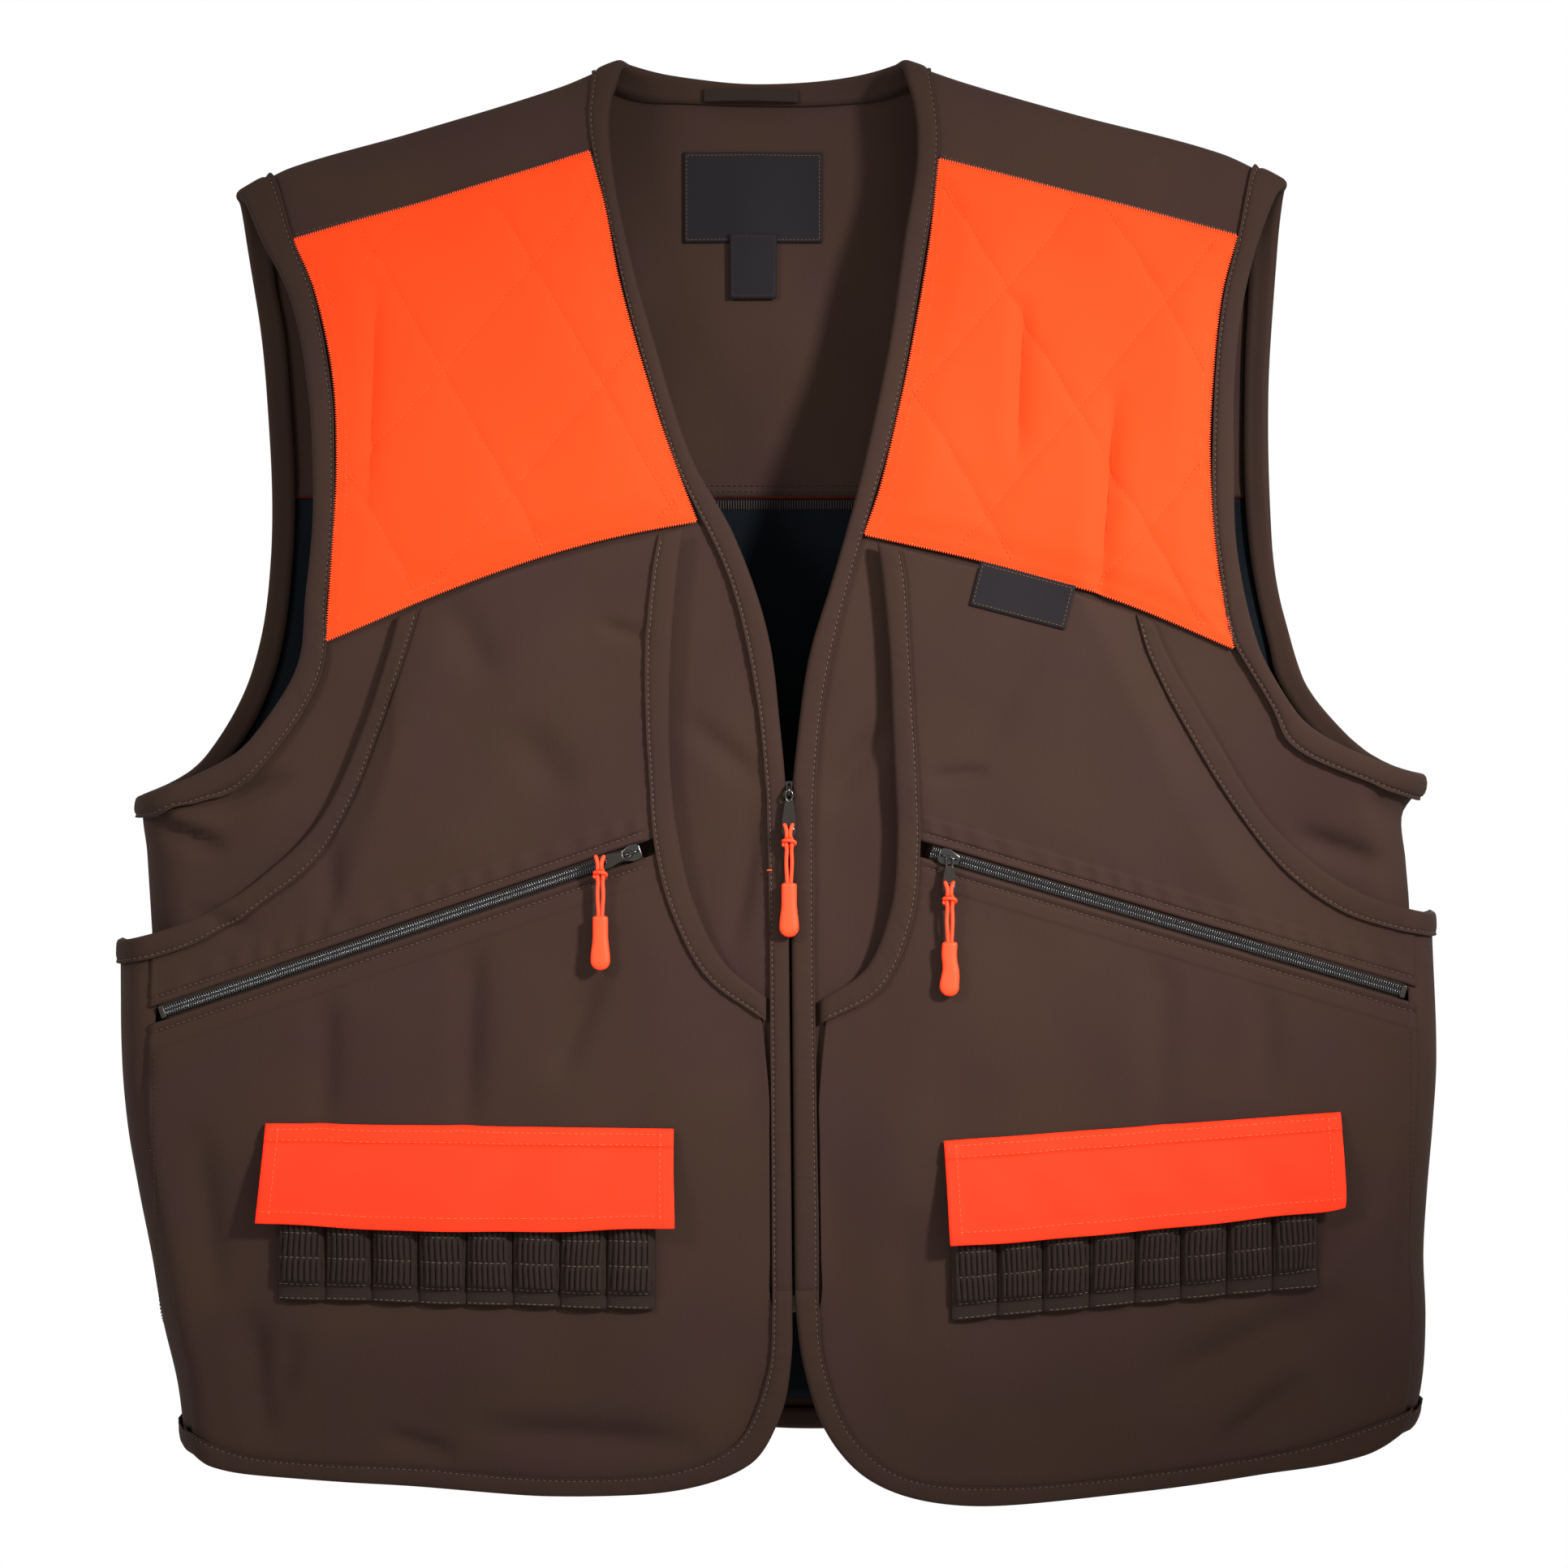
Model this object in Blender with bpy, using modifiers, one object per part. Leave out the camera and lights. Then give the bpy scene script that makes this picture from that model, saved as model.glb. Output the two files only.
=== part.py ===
"""A sleeveless field vest that hangs by the loop at its back neck, fronts zipped shut.

Metres. +X is the wearer's left, -Y the front, +Z up, and the origin is the hang loop.
Every cloth piece lies on one of two body forms: BODY, the vest itself, and BAG, the pocket
and game bag layer outside it. A form turns a place on the cloth (across, down) into a point:
across is 0 at the centre front, down is 0 on the shoulder fold, and both run round the folds.
"""

import math
from bisect import bisect_right

import bmesh
import bpy
from mathutils import Matrix, Vector

# The body's folds and depths.
SHOULDER_Y = -0.020  # the plane that the shoulder folds and the side folds lie in
CENTRE_X = 0.021  # the middle of the body
SHOULDER_ROUND = 0.030  # height over which a shoulder rounds into the front and the back
BODY_SIDE_ROUND = 0.026  # width over which the front rounds into a side fold
BAG_SIDE_ROUND = 0.020
FLAT_WIDTH = 0.290  # nominal distance from the centre front to the start of a side fold
SIDE_SLOPE = 0.020  # how much shallower the front gets per metre away from its middle
CHEST_Z = -0.330
FRONT_DEPTH = (0.016, 0.042)  # at the neck and at the chest
BACK_DEPTH = (0.020, 0.042)
DEPTH_GROWTH = 0.020  # further depth per metre below the chest
LAYER = 0.0016  # distance between two cloths sewn flat on each other
POCKET_LAYER = 0.0036  # distance from the body to the pocket layer where they are sewn
POCKET_STAND = 0.0070  # the further hollow behind the pocket layer
BIB_SWELL = (0.008, 0.072)  # distances below the layer's slanted edge over which it stands off
FRONT_SWELL = (0.014, 0.074)  # the same from the centre front
HEM_SWELL = (-0.738, -0.650)  # the same in height above the hem
CUT = 0.45  # how far a panel's cut edge reaches under its binding, from free line to seam
BAG_BULGE = 0.026

# Cloth and trim.
CLOTH = 0.0010
POCKET_CLOTH = 0.0008
BINDING_CLOTH = 0.0008
ELASTIC = 0.0010
BATTING = 0.0020
HANG_LOOP_SPAN = 0.052
LOOP_COUNT = 8
LOOP_RISE = 0.0080
FLAP_RISE = 0.0112
FLAP_HINGE_OUT = 0.0022  # how far the line a flap turns about lies in front of its top edge

# Zips.
COIL_WIDTH = 0.0060
COIL_HEIGHT = 0.0018
TAPE_WIDTH = 0.026
TAPE_CLOTH = 0.0006
POCKET_TAPE_DEPTH = 0.0042  # how far behind the pocket layer its zip tape lies
SLOT_WIDTH = 0.0084
SLIDER = (0.0115, 0.0090, 0.0016)  # along the zip, across it, and the plate's thickness
CROWN_RING = (0.0030, 0.0008)
TAB_WIDTH = 0.0080
CORD_RADIUS = 0.0008
POCKET_SLIDER_LIFT = 0.0020  # from the zip line to the slider's plate
FRONT_SLIDER_LIFT = -0.0046
FRONT_SLIDER_NECK = 0.0088
CORD_EYE = 0.0032  # radius of the loop that the cord makes through its tab
GRIP = (0.0088, 0.0050)  # width and thickness

SIDE = 1.0  # an across value past the body: a point right on the side fold

SHOULDER_LINE = [
    (-0.360, -0.090), (-0.274, -0.057), (-0.247, -0.043), (-0.181, -0.024), (-0.103, 0.000),
    (-0.068, 0.0145), (0.008, 0.040), (0.081, 0.0145), (0.114, 0.003), (0.173, -0.014),
    (0.252, -0.035), (0.288, -0.052), (0.370, -0.085),
]

# Outlines of each side of the vest, as (x, z) points seen from the front.
RIGHT = {
    "sign": -1,
    "body_side": [
        (-0.290, -0.080), (-0.290, -0.169), (-0.295, -0.257), (-0.310, -0.327),
        (-0.326, -0.381), (-0.324, -0.410), (-0.321, -0.458), (-0.315, -0.563),
        (-0.300, -0.650), (-0.286, -0.729),
    ],
    "bag_side": [
        (-0.338, -0.440), (-0.338, -0.470), (-0.337, -0.519), (-0.334, -0.554),
        (-0.328, -0.589), (-0.321, -0.624), (-0.315, -0.659), (-0.307, -0.694),
        (-0.303, -0.729),
    ],
    "front_free": [
        (-0.068, 0.0145), (-0.0755, -0.012), (-0.0745, -0.040), (-0.067, -0.080),
        (-0.054, -0.129), (-0.032, -0.198), (-0.008, -0.243), (0.009, -0.293),
        (0.0158, -0.345), (0.0191, -0.385), (0.0200, -0.430), (0.0208, -0.520),
        (0.0220, -0.646),
    ],
    "front_seam": [
        (-0.084, 0.0062), (-0.086, -0.021), (-0.077, -0.064), (-0.062, -0.129),
        (-0.038, -0.206), (-0.010, -0.267), (0.003, -0.325), (0.0090, -0.380),
        (0.0100, -0.430), (0.0112, -0.520), (0.0120, -0.646),
    ],
    "hem_free": [
        (0.0220, -0.647), (0.0215, -0.676), (0.0160, -0.705), (0.0000, -0.731),
        (-0.040, -0.745), (-0.105, -0.748), (-0.178, -0.743), (-0.255, -0.738),
        (-0.284, -0.733), (-0.300, -0.723),
    ],
    "hem_seam": [
        (0.0120, -0.647), (0.0095, -0.684), (-0.006, -0.719), (-0.040, -0.735),
        (-0.096, -0.739), (-0.182, -0.733), (-0.262, -0.728), (-0.300, -0.714),
    ],
    "arm_front_free": [
        (-0.276, -0.050), (-0.262, -0.080), (-0.245, -0.115), (-0.235, -0.165),
        (-0.232, -0.210), (-0.235, -0.270), (-0.241, -0.314), (-0.264, -0.349),
        (-0.295, -0.369), (-SIDE, -0.380),
    ],
    "arm_front_seam": [
        (-0.257, -0.040), (-0.245, -0.080), (-0.233, -0.111), (-0.223, -0.165),
        (-0.221, -0.206), (-0.224, -0.275), (-0.228, -0.318), (-0.253, -0.358),
        (-0.290, -0.382), (-SIDE, -0.390),
    ],
    "arm_back_free": [
        (-0.276, -0.050), (-0.273, -0.080), (-0.266, -0.130), (-0.262, -0.190),
        (-0.262, -0.247), (-0.269, -0.298), (-0.285, -0.338), (-0.306, -0.366),
        (-SIDE, -0.380),
    ],
    "arm_back_seam": [
        (-0.257, -0.040), (-0.259, -0.090), (-0.253, -0.130), (-0.250, -0.180),
        (-0.250, -0.247), (-0.258, -0.305), (-0.276, -0.346), (-0.302, -0.374),
        (-SIDE, -0.390),
    ],
    "patch": {
        "top": [(-0.244, -0.082), (-0.164, -0.059), (-0.0858, -0.035)],
        "bottom": [(-0.224, -0.297), (-0.144, -0.264), (-0.084, -0.245), (-0.0285, -0.234)],
        "outer": [
            (-0.244, -0.082), (-0.2315, -0.111), (-0.2222, -0.155), (-0.2194, -0.206),
            (-0.2212, -0.250), (-0.224, -0.297),
        ],
        "inner": [
            (-0.0858, -0.035), (-0.0780, -0.064), (-0.0700, -0.105), (-0.0510, -0.172),
            (-0.0390, -0.206), (-0.0285, -0.234),
        ],
    },
    "yoke_front": [(-0.246, -0.088), (-0.164, -0.067), (-0.0855, -0.043)],
    "yoke_back": [(-0.2555, -0.085), (-0.170, -0.066), (-0.084, -0.040)],
    "panel_top": [(-0.249, -0.094), (-0.164, -0.068), (-0.082, -0.046)],
    "bib_free": [
        (-0.186, -0.2845), (-0.192, -0.306), (-0.204, -0.342),
        (-0.225, -0.388), (-0.247, -0.413), (-0.278, -0.436), (-0.305, -0.449),
        (-SIDE, -0.456),
    ],
    "bib_seam": [
        (-0.1745, -0.2795), (-0.181, -0.302), (-0.193, -0.339),
        (-0.214, -0.390), (-0.238, -0.422), (-0.273, -0.447), (-0.302, -0.461),
        (-SIDE, -0.468),
    ],
    "mouth_free": [
        (-0.0355, -0.2380), (-0.0385, -0.258), (-0.042, -0.302), (-0.043, -0.336),
        (-0.042, -0.370), (-0.038, -0.402), (-0.030, -0.435), (-0.014, -0.467),
        (0.0085, -0.486),
    ],
    "mouth_seam": [
        (-0.0480, -0.2410), (-0.0515, -0.262), (-0.055, -0.302), (-0.055, -0.336),
        (-0.053, -0.370), (-0.050, -0.407), (-0.041, -0.442), (-0.023, -0.475),
        (0.0085, -0.498),
    ],
    "side_seam_x": -0.317,
    "zip_inner": (-0.0565, -0.4075),
    "zip_outer": (-0.3150, -0.4950),
    "slider_at": 0.0065,  # distance from the zip's inner end to the slider
    "flap": [(-0.255, -0.552), (-0.040, -0.5545), (-0.041, -0.606), (-0.259, -0.603)],
    "flap_bow": 0.006,
    "loops": [(-0.248, -0.644), (-0.050, -0.649)],
    "loops_height": 0.056,
    "side_bottom_z": -0.715,
}
LEFT = {
    "sign": 1,
    "body_side": [
        (0.296, -0.080), (0.297, -0.169), (0.308, -0.257), (0.333, -0.327), (0.359, -0.369),
        (0.350, -0.390), (0.352, -0.414), (0.354, -0.445), (0.350, -0.563), (0.343, -0.650),
        (0.331, -0.729),
    ],
    "bag_side": [
        (0.366, -0.425), (0.366, -0.450), (0.368, -0.519), (0.366, -0.554), (0.363, -0.589),
        (0.361, -0.624), (0.362, -0.659), (0.360, -0.694), (0.352, -0.729),
    ],
    "front_free": [
        (0.081, 0.0145), (0.0885, -0.012), (0.0895, -0.040), (0.083, -0.080),
        (0.074, -0.141), (0.059, -0.211), (0.044, -0.265), (0.032, -0.305),
        (0.0255, -0.350), (0.0224, -0.385), (0.0224, -0.430), (0.0232, -0.520),
        (0.0244, -0.646),
    ],
    "front_seam": [
        (0.096, 0.0085), (0.101, -0.030), (0.091, -0.103), (0.075, -0.189),
        (0.060, -0.241), (0.047, -0.290), (0.0385, -0.335), (0.0345, -0.383),
        (0.0340, -0.430), (0.0350, -0.520), (0.0365, -0.646),
    ],
    "hem_free": [
        (0.0244, -0.647), (0.0290, -0.680), (0.040, -0.713), (0.060, -0.737),
        (0.090, -0.750), (0.130, -0.753), (0.205, -0.746), (0.270, -0.737),
        (0.325, -0.727), (0.351, -0.712),
    ],
    "hem_seam": [
        (0.0365, -0.647), (0.040, -0.680), (0.055, -0.717), (0.085, -0.739),
        (0.140, -0.743), (0.205, -0.737), (0.291, -0.723), (0.351, -0.703),
    ],
    "arm_front_free": [
        (0.288, -0.045), (0.274, -0.075), (0.264, -0.111), (0.258, -0.155),
        (0.257, -0.205), (0.259, -0.255), (0.270, -0.301), (0.292, -0.338),
        (0.325, -0.358), (SIDE, -0.368),
    ],
    "arm_front_seam": [
        (0.270, -0.035), (0.261, -0.079), (0.253, -0.111), (0.248, -0.150),
        (0.246, -0.197), (0.249, -0.258), (0.259, -0.303), (0.283, -0.348),
        (0.325, -0.371), (SIDE, -0.379),
    ],
    "arm_back_free": [
        (0.288, -0.045), (0.285, -0.080), (0.282, -0.130), (0.281, -0.168),
        (0.283, -0.225), (0.292, -0.282), (0.310, -0.328), (0.338, -0.357),
        (SIDE, -0.368),
    ],
    "arm_back_seam": [
        (0.270, -0.035), (0.271, -0.085), (0.269, -0.135), (0.269, -0.180),
        (0.272, -0.238), (0.282, -0.292), (0.303, -0.339), (0.334, -0.366),
        (SIDE, -0.379),
    ],
    "patch": {
        "top": [(0.260, -0.080), (0.180, -0.059), (0.101, -0.039)],
        "bottom": [(0.2562, -0.301), (0.190, -0.274), (0.119, -0.254), (0.061, -0.241)],
        "outer": [
            (0.260, -0.080), (0.2514, -0.111), (0.2464, -0.150), (0.2442, -0.200),
            (0.2478, -0.258), (0.2562, -0.301),
        ],
        "inner": [
            (0.101, -0.039), (0.096, -0.085), (0.087, -0.137), (0.080, -0.172),
            (0.070, -0.215), (0.061, -0.241),
        ],
    },
    "yoke_front": [(0.2605, -0.087), (0.180, -0.067), (0.1030, -0.047)],
    "yoke_back": [(0.268, -0.080), (0.180, -0.062), (0.0985, -0.040)],
    "panel_top": [(0.262, -0.090), (0.180, -0.068), (0.098, -0.049)],
    "bib_free": [
        (0.2135, -0.2870), (0.222, -0.307), (0.239, -0.336),
        (0.267, -0.383), (0.291, -0.409), (0.316, -0.427), (0.340, -0.437),
        (SIDE, -0.441),
    ],
    "bib_seam": [
        (0.2045, -0.2830), (0.211, -0.306), (0.228, -0.340),
        (0.257, -0.387), (0.283, -0.419), (0.312, -0.440), (0.338, -0.449),
        (SIDE, -0.453),
    ],
    "mouth_free": [
        (0.0680, -0.2455), (0.0705, -0.264), (0.074, -0.302), (0.0755, -0.336),
        (0.077, -0.370), (0.078, -0.402), (0.075, -0.437), (0.062, -0.470),
        (0.0375, -0.4875),
    ],
    "mouth_seam": [
        (0.0800, -0.2480), (0.083, -0.267), (0.085, -0.302), (0.087, -0.336),
        (0.089, -0.370), (0.090, -0.405), (0.086, -0.445), (0.070, -0.481),
        (0.0375, -0.4995),
    ],
    "side_seam_x": 0.352,
    "zip_inner": (0.0925, -0.4080),
    "zip_outer": (0.3500, -0.4840),
    "slider_at": 0.0130,
    "flap": [(0.311, -0.546), (0.102, -0.561), (0.105, -0.615), (0.313, -0.596)],
    "flap_bow": 0.003,
    "loops": [(0.299, -0.637), (0.106, -0.655)],
    "loops_height": 0.056,
    "side_bottom_z": -0.704,
}
SIDES = {"right": RIGHT, "left": LEFT}

NECK_FREE = [
    (-0.068, 0.0145), (-0.042, 0.0105), (-0.010, 0.0075), (0.012, 0.0070),
    (0.036, 0.0080), (0.061, 0.0110), (0.081, 0.0145),
]
NECK_SEAM = [
    (-0.084, 0.0062), (-0.060, -0.002), (-0.033, -0.004), (0.010, -0.005),
    (0.042, -0.0045), (0.072, -0.001), (0.096, 0.0085),
]
UPPER_BACK_TOP = [
    (-0.170, -0.056), (-0.105, -0.036), (-0.083, -0.014), (-0.070, -0.0005), (-0.033, -0.0010),
    (0.010, -0.0020), (0.042, -0.0015), (0.080, 0.0000), (0.094, -0.012), (0.116, -0.034),
    (0.180, -0.052),
]
WAIST_SEAM_Z = -0.216  # where the brown upper back ends and the lining begins
SEAM_GAP = 0.002
BACK_HEM_Z = -0.722
FRONT_PANEL_FOOT = -0.722
BAG_TOP_Z = -0.438  # at the centre back
CENTRE_ZIP_TOP = (0.0208, -0.377)
CENTRE_ZIP_BOTTOM = (0.0232, -0.640)

COLOURS = {
    "canvas": ((0.105, 0.075, 0.063, 1), 0.9, 0),
    "orange_quilt": ((1.0, 0.105, 0.022, 1), 0.75, 0),
    "orange_cloth": ((1.0, 0.055, 0.018, 1), 0.75, 0),
    "orange_cord": ((1.0, 0.110, 0.030, 1), 0.6, 0),
    "orange_grip": ((1.0, 0.095, 0.030, 1), 0.5, 0),
    "lining": ((0.004, 0.010, 0.014, 1), 0.8, 0),
    "batting": ((0.7, 0.7, 0.68, 1), 0.95, 0),
    "elastic": ((0.070, 0.055, 0.048, 1), 0.9, 0),
    "tape": ((0.060, 0.045, 0.040, 1), 0.9, 0),
    "coil": ((0.020, 0.020, 0.022, 1), 0.4, 0),
    "gunmetal": ((0.120, 0.120, 0.120, 1), 0.3, 1),
    "label": ((0.020, 0.020, 0.028, 1), 0.7, 0),
}


def smooth(keys, values):
    """A smooth function through the values at rising keys, level past its ends."""
    last = len(keys) - 1
    slopes = []
    for i in range(len(keys)):
        low, high = max(i - 1, 0), min(i + 1, last)
        slopes.append((values[high] - values[low]) / (keys[high] - keys[low]))

    def value(key):
        key = min(max(key, keys[0]), keys[-1])
        i = min(max(bisect_right(keys, key) - 1, 0), last - 1)
        step = keys[i + 1] - keys[i]
        t = (key - keys[i]) / step
        bend = (slopes[i] * step * (1 - t) ** 2 * t) - (slopes[i + 1] * step * (1 - t) * t**2)
        return values[i] + (values[i + 1] - values[i]) * t * t * (3 - 2 * t) + bend

    return value


def ramp(value, low, high):
    """0 below low, 1 above high, and an S-curve between them."""
    t = min(max((value - low) / (high - low), 0), 1)
    return t * t * (3 - 2 * t)


shoulder_z = smooth(*zip(*SHOULDER_LINE))


def side_reach(outline):
    """Half-width of the body as a function of the distance below the shoulder line."""
    drops = [shoulder_z(x) - z for x, z in outline]
    return smooth(drops, [abs(x - CENTRE_X) for x, z in outline])


class Form:
    """A closed surface round the body, with a place (across, down) for each point of it."""

    crest = SHOULDER_ROUND * math.pi / 2

    def __init__(self, outline_name, side_round, depth):
        self.reach = {s["sign"]: side_reach(s[outline_name]) for s in (RIGHT, LEFT)}
        self.side_round = side_round
        self.apex = FLAT_WIDTH + side_round * math.pi / 2
        self.depth = depth

    def point(self, across, down):
        face = 1
        if down < 0:
            down, face = -down, -face
        sign = 1 if across >= 0 else -1
        across = abs(across)
        if across > self.apex:
            across, face = 2 * self.apex - across, -face
        arc = min(down, self.crest) / SHOULDER_ROUND
        drop = SHOULDER_ROUND * (1 - math.cos(arc)) + max(down - self.crest, 0)
        flat = self.reach[sign](drop) - self.side_round
        turn = max(across - FLAT_WIDTH, 0) / self.side_round
        reach = flat * min(across / FLAT_WIDTH, 1) + self.side_round * math.sin(turn)
        x = CENTRE_X + sign * reach
        z = shoulder_z(x) - drop
        depth = self.depth(face, x, z) - (SIDE_SLOPE * reach if face > 0 else 0)
        depth *= math.cos(turn) * math.sin(arc)
        return Vector((x, SHOULDER_Y - face * depth, z))

    def normal(self, across, down):
        step = 0.0008
        along = self.point(across + step, down) - self.point(across - step, down)
        below = self.point(across, down + step) - self.point(across, down - step)
        return below.cross(along).normalized()

    def lifted(self, place, lift):
        return self.point(*place) + self.normal(*place) * lift

    def front(self, x, z):
        """The place of a point seen from the front."""
        sign = 1 if x >= CENTRE_X else -1
        drop = max(shoulder_z(min(max(x, -0.34), 0.37)) - z, 0)
        if abs(x) >= SIDE:
            drop = self.side_drop(sign, z)
        flat = self.reach[sign](drop) - self.side_round
        reach = abs(x - CENTRE_X)
        if reach <= flat:
            across = FLAT_WIDTH * reach / flat
        else:
            turned = math.asin(min((reach - flat) / self.side_round, 1))
            across = FLAT_WIDTH + self.side_round * turned
        if drop < SHOULDER_ROUND:
            down = SHOULDER_ROUND * math.acos(1 - drop / SHOULDER_ROUND)
        else:
            down = self.crest + drop - SHOULDER_ROUND
        return sign * across, down

    def side_drop(self, sign, z):
        """How far a height on the side fold lies below the shoulder line."""
        drop = -z
        for _ in range(12):
            drop = shoulder_z(CENTRE_X + sign * self.reach[sign](drop)) - z
        return drop

    def back(self, x, z):
        """The place of a point on the back, as one reached over the shoulder."""
        across, down = self.front(x, z)
        return across, -down

    def round_side(self, x, z):
        """The place of a point on the back, as one reached round the side."""
        across, down = self.front(x, z)
        return math.copysign(2 * self.apex - abs(across), across), down

    def seam_front(self, x, z):
        """The place of a point on the front, as one reached over the shoulder and round the side."""
        across, down = self.round_side(x, z)
        return across, -down


def body_depth(face, x, z):
    shallow, deep = FRONT_DEPTH if face > 0 else BACK_DEPTH
    return shallow + (deep - shallow) * ramp(-z, 0, -CHEST_Z) + DEPTH_GROWTH * max(CHEST_Z - z, 0)


def bag_depth(face, x, z):
    depth = body_depth(face, x, z) + POCKET_LAYER
    from_centre = abs(x - CENTRE_X)
    if face < 0:
        middle = 1 - 0.75 * ramp(from_centre, 0.16, 0.33)
        return depth + BAG_BULGE * middle * ramp(z, BACK_HEM_Z, -0.60) * ramp(-z, 0.36, 0.58)
    side = RIGHT if x < CENTRE_X else LEFT
    below_bib = ramp(side["bib_height"](from_centre) - z, *BIB_SWELL)
    clear_of_edges = ramp(from_centre, *FRONT_SWELL) * ramp(z, *HEM_SWELL)
    return depth + POCKET_STAND * clear_of_edges * below_bib


for outline in (RIGHT, LEFT):
    bib = [(abs(x - CENTRE_X), z) for x, z in outline["bib_free"] if abs(x) < SIDE]
    outline["bib_height"] = smooth([0.0] + [x for x, z in bib], [0.1] + [z for x, z in bib])

BODY = Form("body_side", BODY_SIDE_ROUND, body_depth)
BAG = Form("bag_side", BAG_SIDE_ROUND, bag_depth)


def rail(places):
    """A smooth line through places on a form, as a function from 0 to 1."""
    keys = [0.0]
    for (a, b), (c, d) in zip(places, places[1:]):
        keys.append(keys[-1] + math.hypot(c - a, d - b))
    across = smooth(keys, [p[0] for p in places])
    down = smooth(keys, [p[1] for p in places])
    return lambda t: (across(t * keys[-1]), down(t * keys[-1]))


def on(place_of, points):
    """The line through (x, z) points on one face. One that ends on a side fold runs by places."""
    if any(abs(x) >= SIDE for x, z in points):
        return rail([place_of(x, z) for x, z in points])
    seen = rail(points)
    return lambda t: place_of(*seen(t))


def along_curve(points, count):
    """More points along a smooth curve from left to right, keeping its two ends."""
    height = smooth(*zip(*points))
    start, end = points[0][0], points[-1][0]
    spread = [start + (end - start) * i / (count - 1) for i in range(count)]
    return [(x, height(x)) for x in spread]


def joined(first, second):
    """Two lines run one after the other."""
    return lambda t: first(2 * t) if t < 0.5 else second(2 * t - 1)


def backwards(line):
    return lambda t: line(1 - t)


def stretch(line, start, end):
    return lambda t: line(start + (end - start) * t)


def between(first, second, share):
    def line(t):
        (a, b), (c, d) = first(t), second(t)
        return a + (c - a) * share, b + (d - b) * share

    return line


def filled(bottom, right, top, left):
    """The places of a four-edged panel: bottom and top run left to right, the sides bottom to top."""
    corners = bottom(0), bottom(1), top(0), top(1)

    def place(u, w):
        found = []
        for i in (0, 1):
            across = (1 - w) * bottom(u)[i] + w * top(u)[i]
            along = (1 - u) * left(w)[i] + u * right(w)[i]
            low = (1 - u) * corners[0][i] + u * corners[1][i]
            high = (1 - u) * corners[2][i] + u * corners[3][i]
            found.append(across + along - (1 - w) * low - w * high)
        return tuple(found)

    return place


parts = bpy.data.collections.new("field_vest")
cutters = bpy.data.collections.new("cutters")


def material(name):
    found = bpy.data.materials.get(name)
    if found is None:
        colour, roughness, metallic = COLOURS[name]
        found = bpy.data.materials.new(name)
        found.use_nodes = True
        shader = found.node_tree.nodes["Principled BSDF"]
        shader.inputs["Base Color"].default_value = colour
        shader.inputs["Roughness"].default_value = roughness
        shader.inputs["Metallic"].default_value = metallic
    return found


def add(name, data, material_name, collection=None):
    obj = bpy.data.objects.new(name, data)
    (collection or parts).objects.link(obj)
    data.materials.append(material(material_name))
    return obj


def grid_lines(plan):
    """Where a grid's lines fall from 0 to 1: a count of even cells, or (end, count) stretches."""
    lines = [0.0]
    for end, count in [(1, plan)] if isinstance(plan, int) else plan:
        start = lines[-1]
        lines += [start + (end - start) * (i + 1) / count for i in range(count)]
    return lines


def cloth(name, point, cells, thickness, material_name, closed=False):
    """A sheet of cloth: a grid laid by point(u, w), then given its thickness."""
    mesh = bpy.data.meshes.new(name)
    shape = bmesh.new()
    columns, rows = grid_lines(cells[0]), grid_lines(cells[1])
    across, up = len(columns) - 1, len(rows) - 1
    bmesh.ops.create_grid(shape, x_segments=across, y_segments=up, size=0.5)
    for vertex in shape.verts:
        column = columns[round((vertex.co.x + 0.5) * across)]
        row = rows[round((vertex.co.y + 0.5) * up)]
        vertex.co = point(column, row)
    if closed:
        bmesh.ops.remove_doubles(shape, verts=shape.verts, dist=1e-5)
    shape.to_mesh(mesh)
    shape.free()
    mesh.shade_smooth()
    obj = add(name, mesh, material_name)
    shell = obj.modifiers.new("thickness", "SOLIDIFY")
    shell.thickness = thickness
    shell.offset = 0
    return obj


def panel(name, form, place, cells, lift, material_name="canvas", thickness=CLOTH):
    lift_at = lift if callable(lift) else lambda u, w: lift
    return cloth(
        name, lambda u, w: form.lifted(place(u, w), lift_at(u, w)), cells, thickness, material_name
    )


BINDING_SECTION = [(1.0, -1), (0.08, -1), (0.0, 0), (0.08, 1), (1.0, 1)]
BODY_BINDING = (-0.0020, 2 * LAYER + 0.0001)  # where its two legs lie
ARMHOLE_BINDING = (-0.0034, 0.0042)
BAG_BINDING = (-0.0024, 0.0023)


def binding(name, form, free, seam, cells, legs, closed=False):
    """A tape folded over an edge: an inner leg, the fold on the free line, and an outer leg."""
    steps = len(BINDING_SECTION) - 1
    middle, half = sum(legs) / 2, (legs[1] - legs[0]) / 2

    def point(u, w):
        share, leg = BINDING_SECTION[round(w * steps)]
        return form.lifted(between(free, seam, share)(u), middle + half * leg)

    return cloth(name, point, (cells, steps), BINDING_CLOTH, "canvas", closed)


def mesh_object(name, shape, material_name, matrix=None, collection=None, smooth_angle=None):
    mesh = bpy.data.meshes.new(name)
    shape.to_mesh(mesh)
    shape.free()
    if smooth_angle:
        mesh.shade_smooth()
        mesh.set_sharp_from_angle(angle=math.radians(smooth_angle))
    obj = add(name, mesh, material_name, collection)
    if matrix is not None:
        obj.matrix_world = matrix
    return obj


def block(name, size, material_name, matrix, centre=(0, 0, 0), bevel=0.0):
    """A box in a local frame, with an optional bevel."""
    shape = bmesh.new()
    bmesh.ops.create_cube(shape, size=1)
    for vertex in shape.verts:
        vertex.co = Vector(c + v * s for c, v, s in zip(centre, vertex.co, size))
    obj = mesh_object(name, shape, material_name, matrix)
    if bevel:
        edges = obj.modifiers.new("edges", "BEVEL")
        edges.width = bevel
        edges.segments = 1
    return obj


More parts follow.
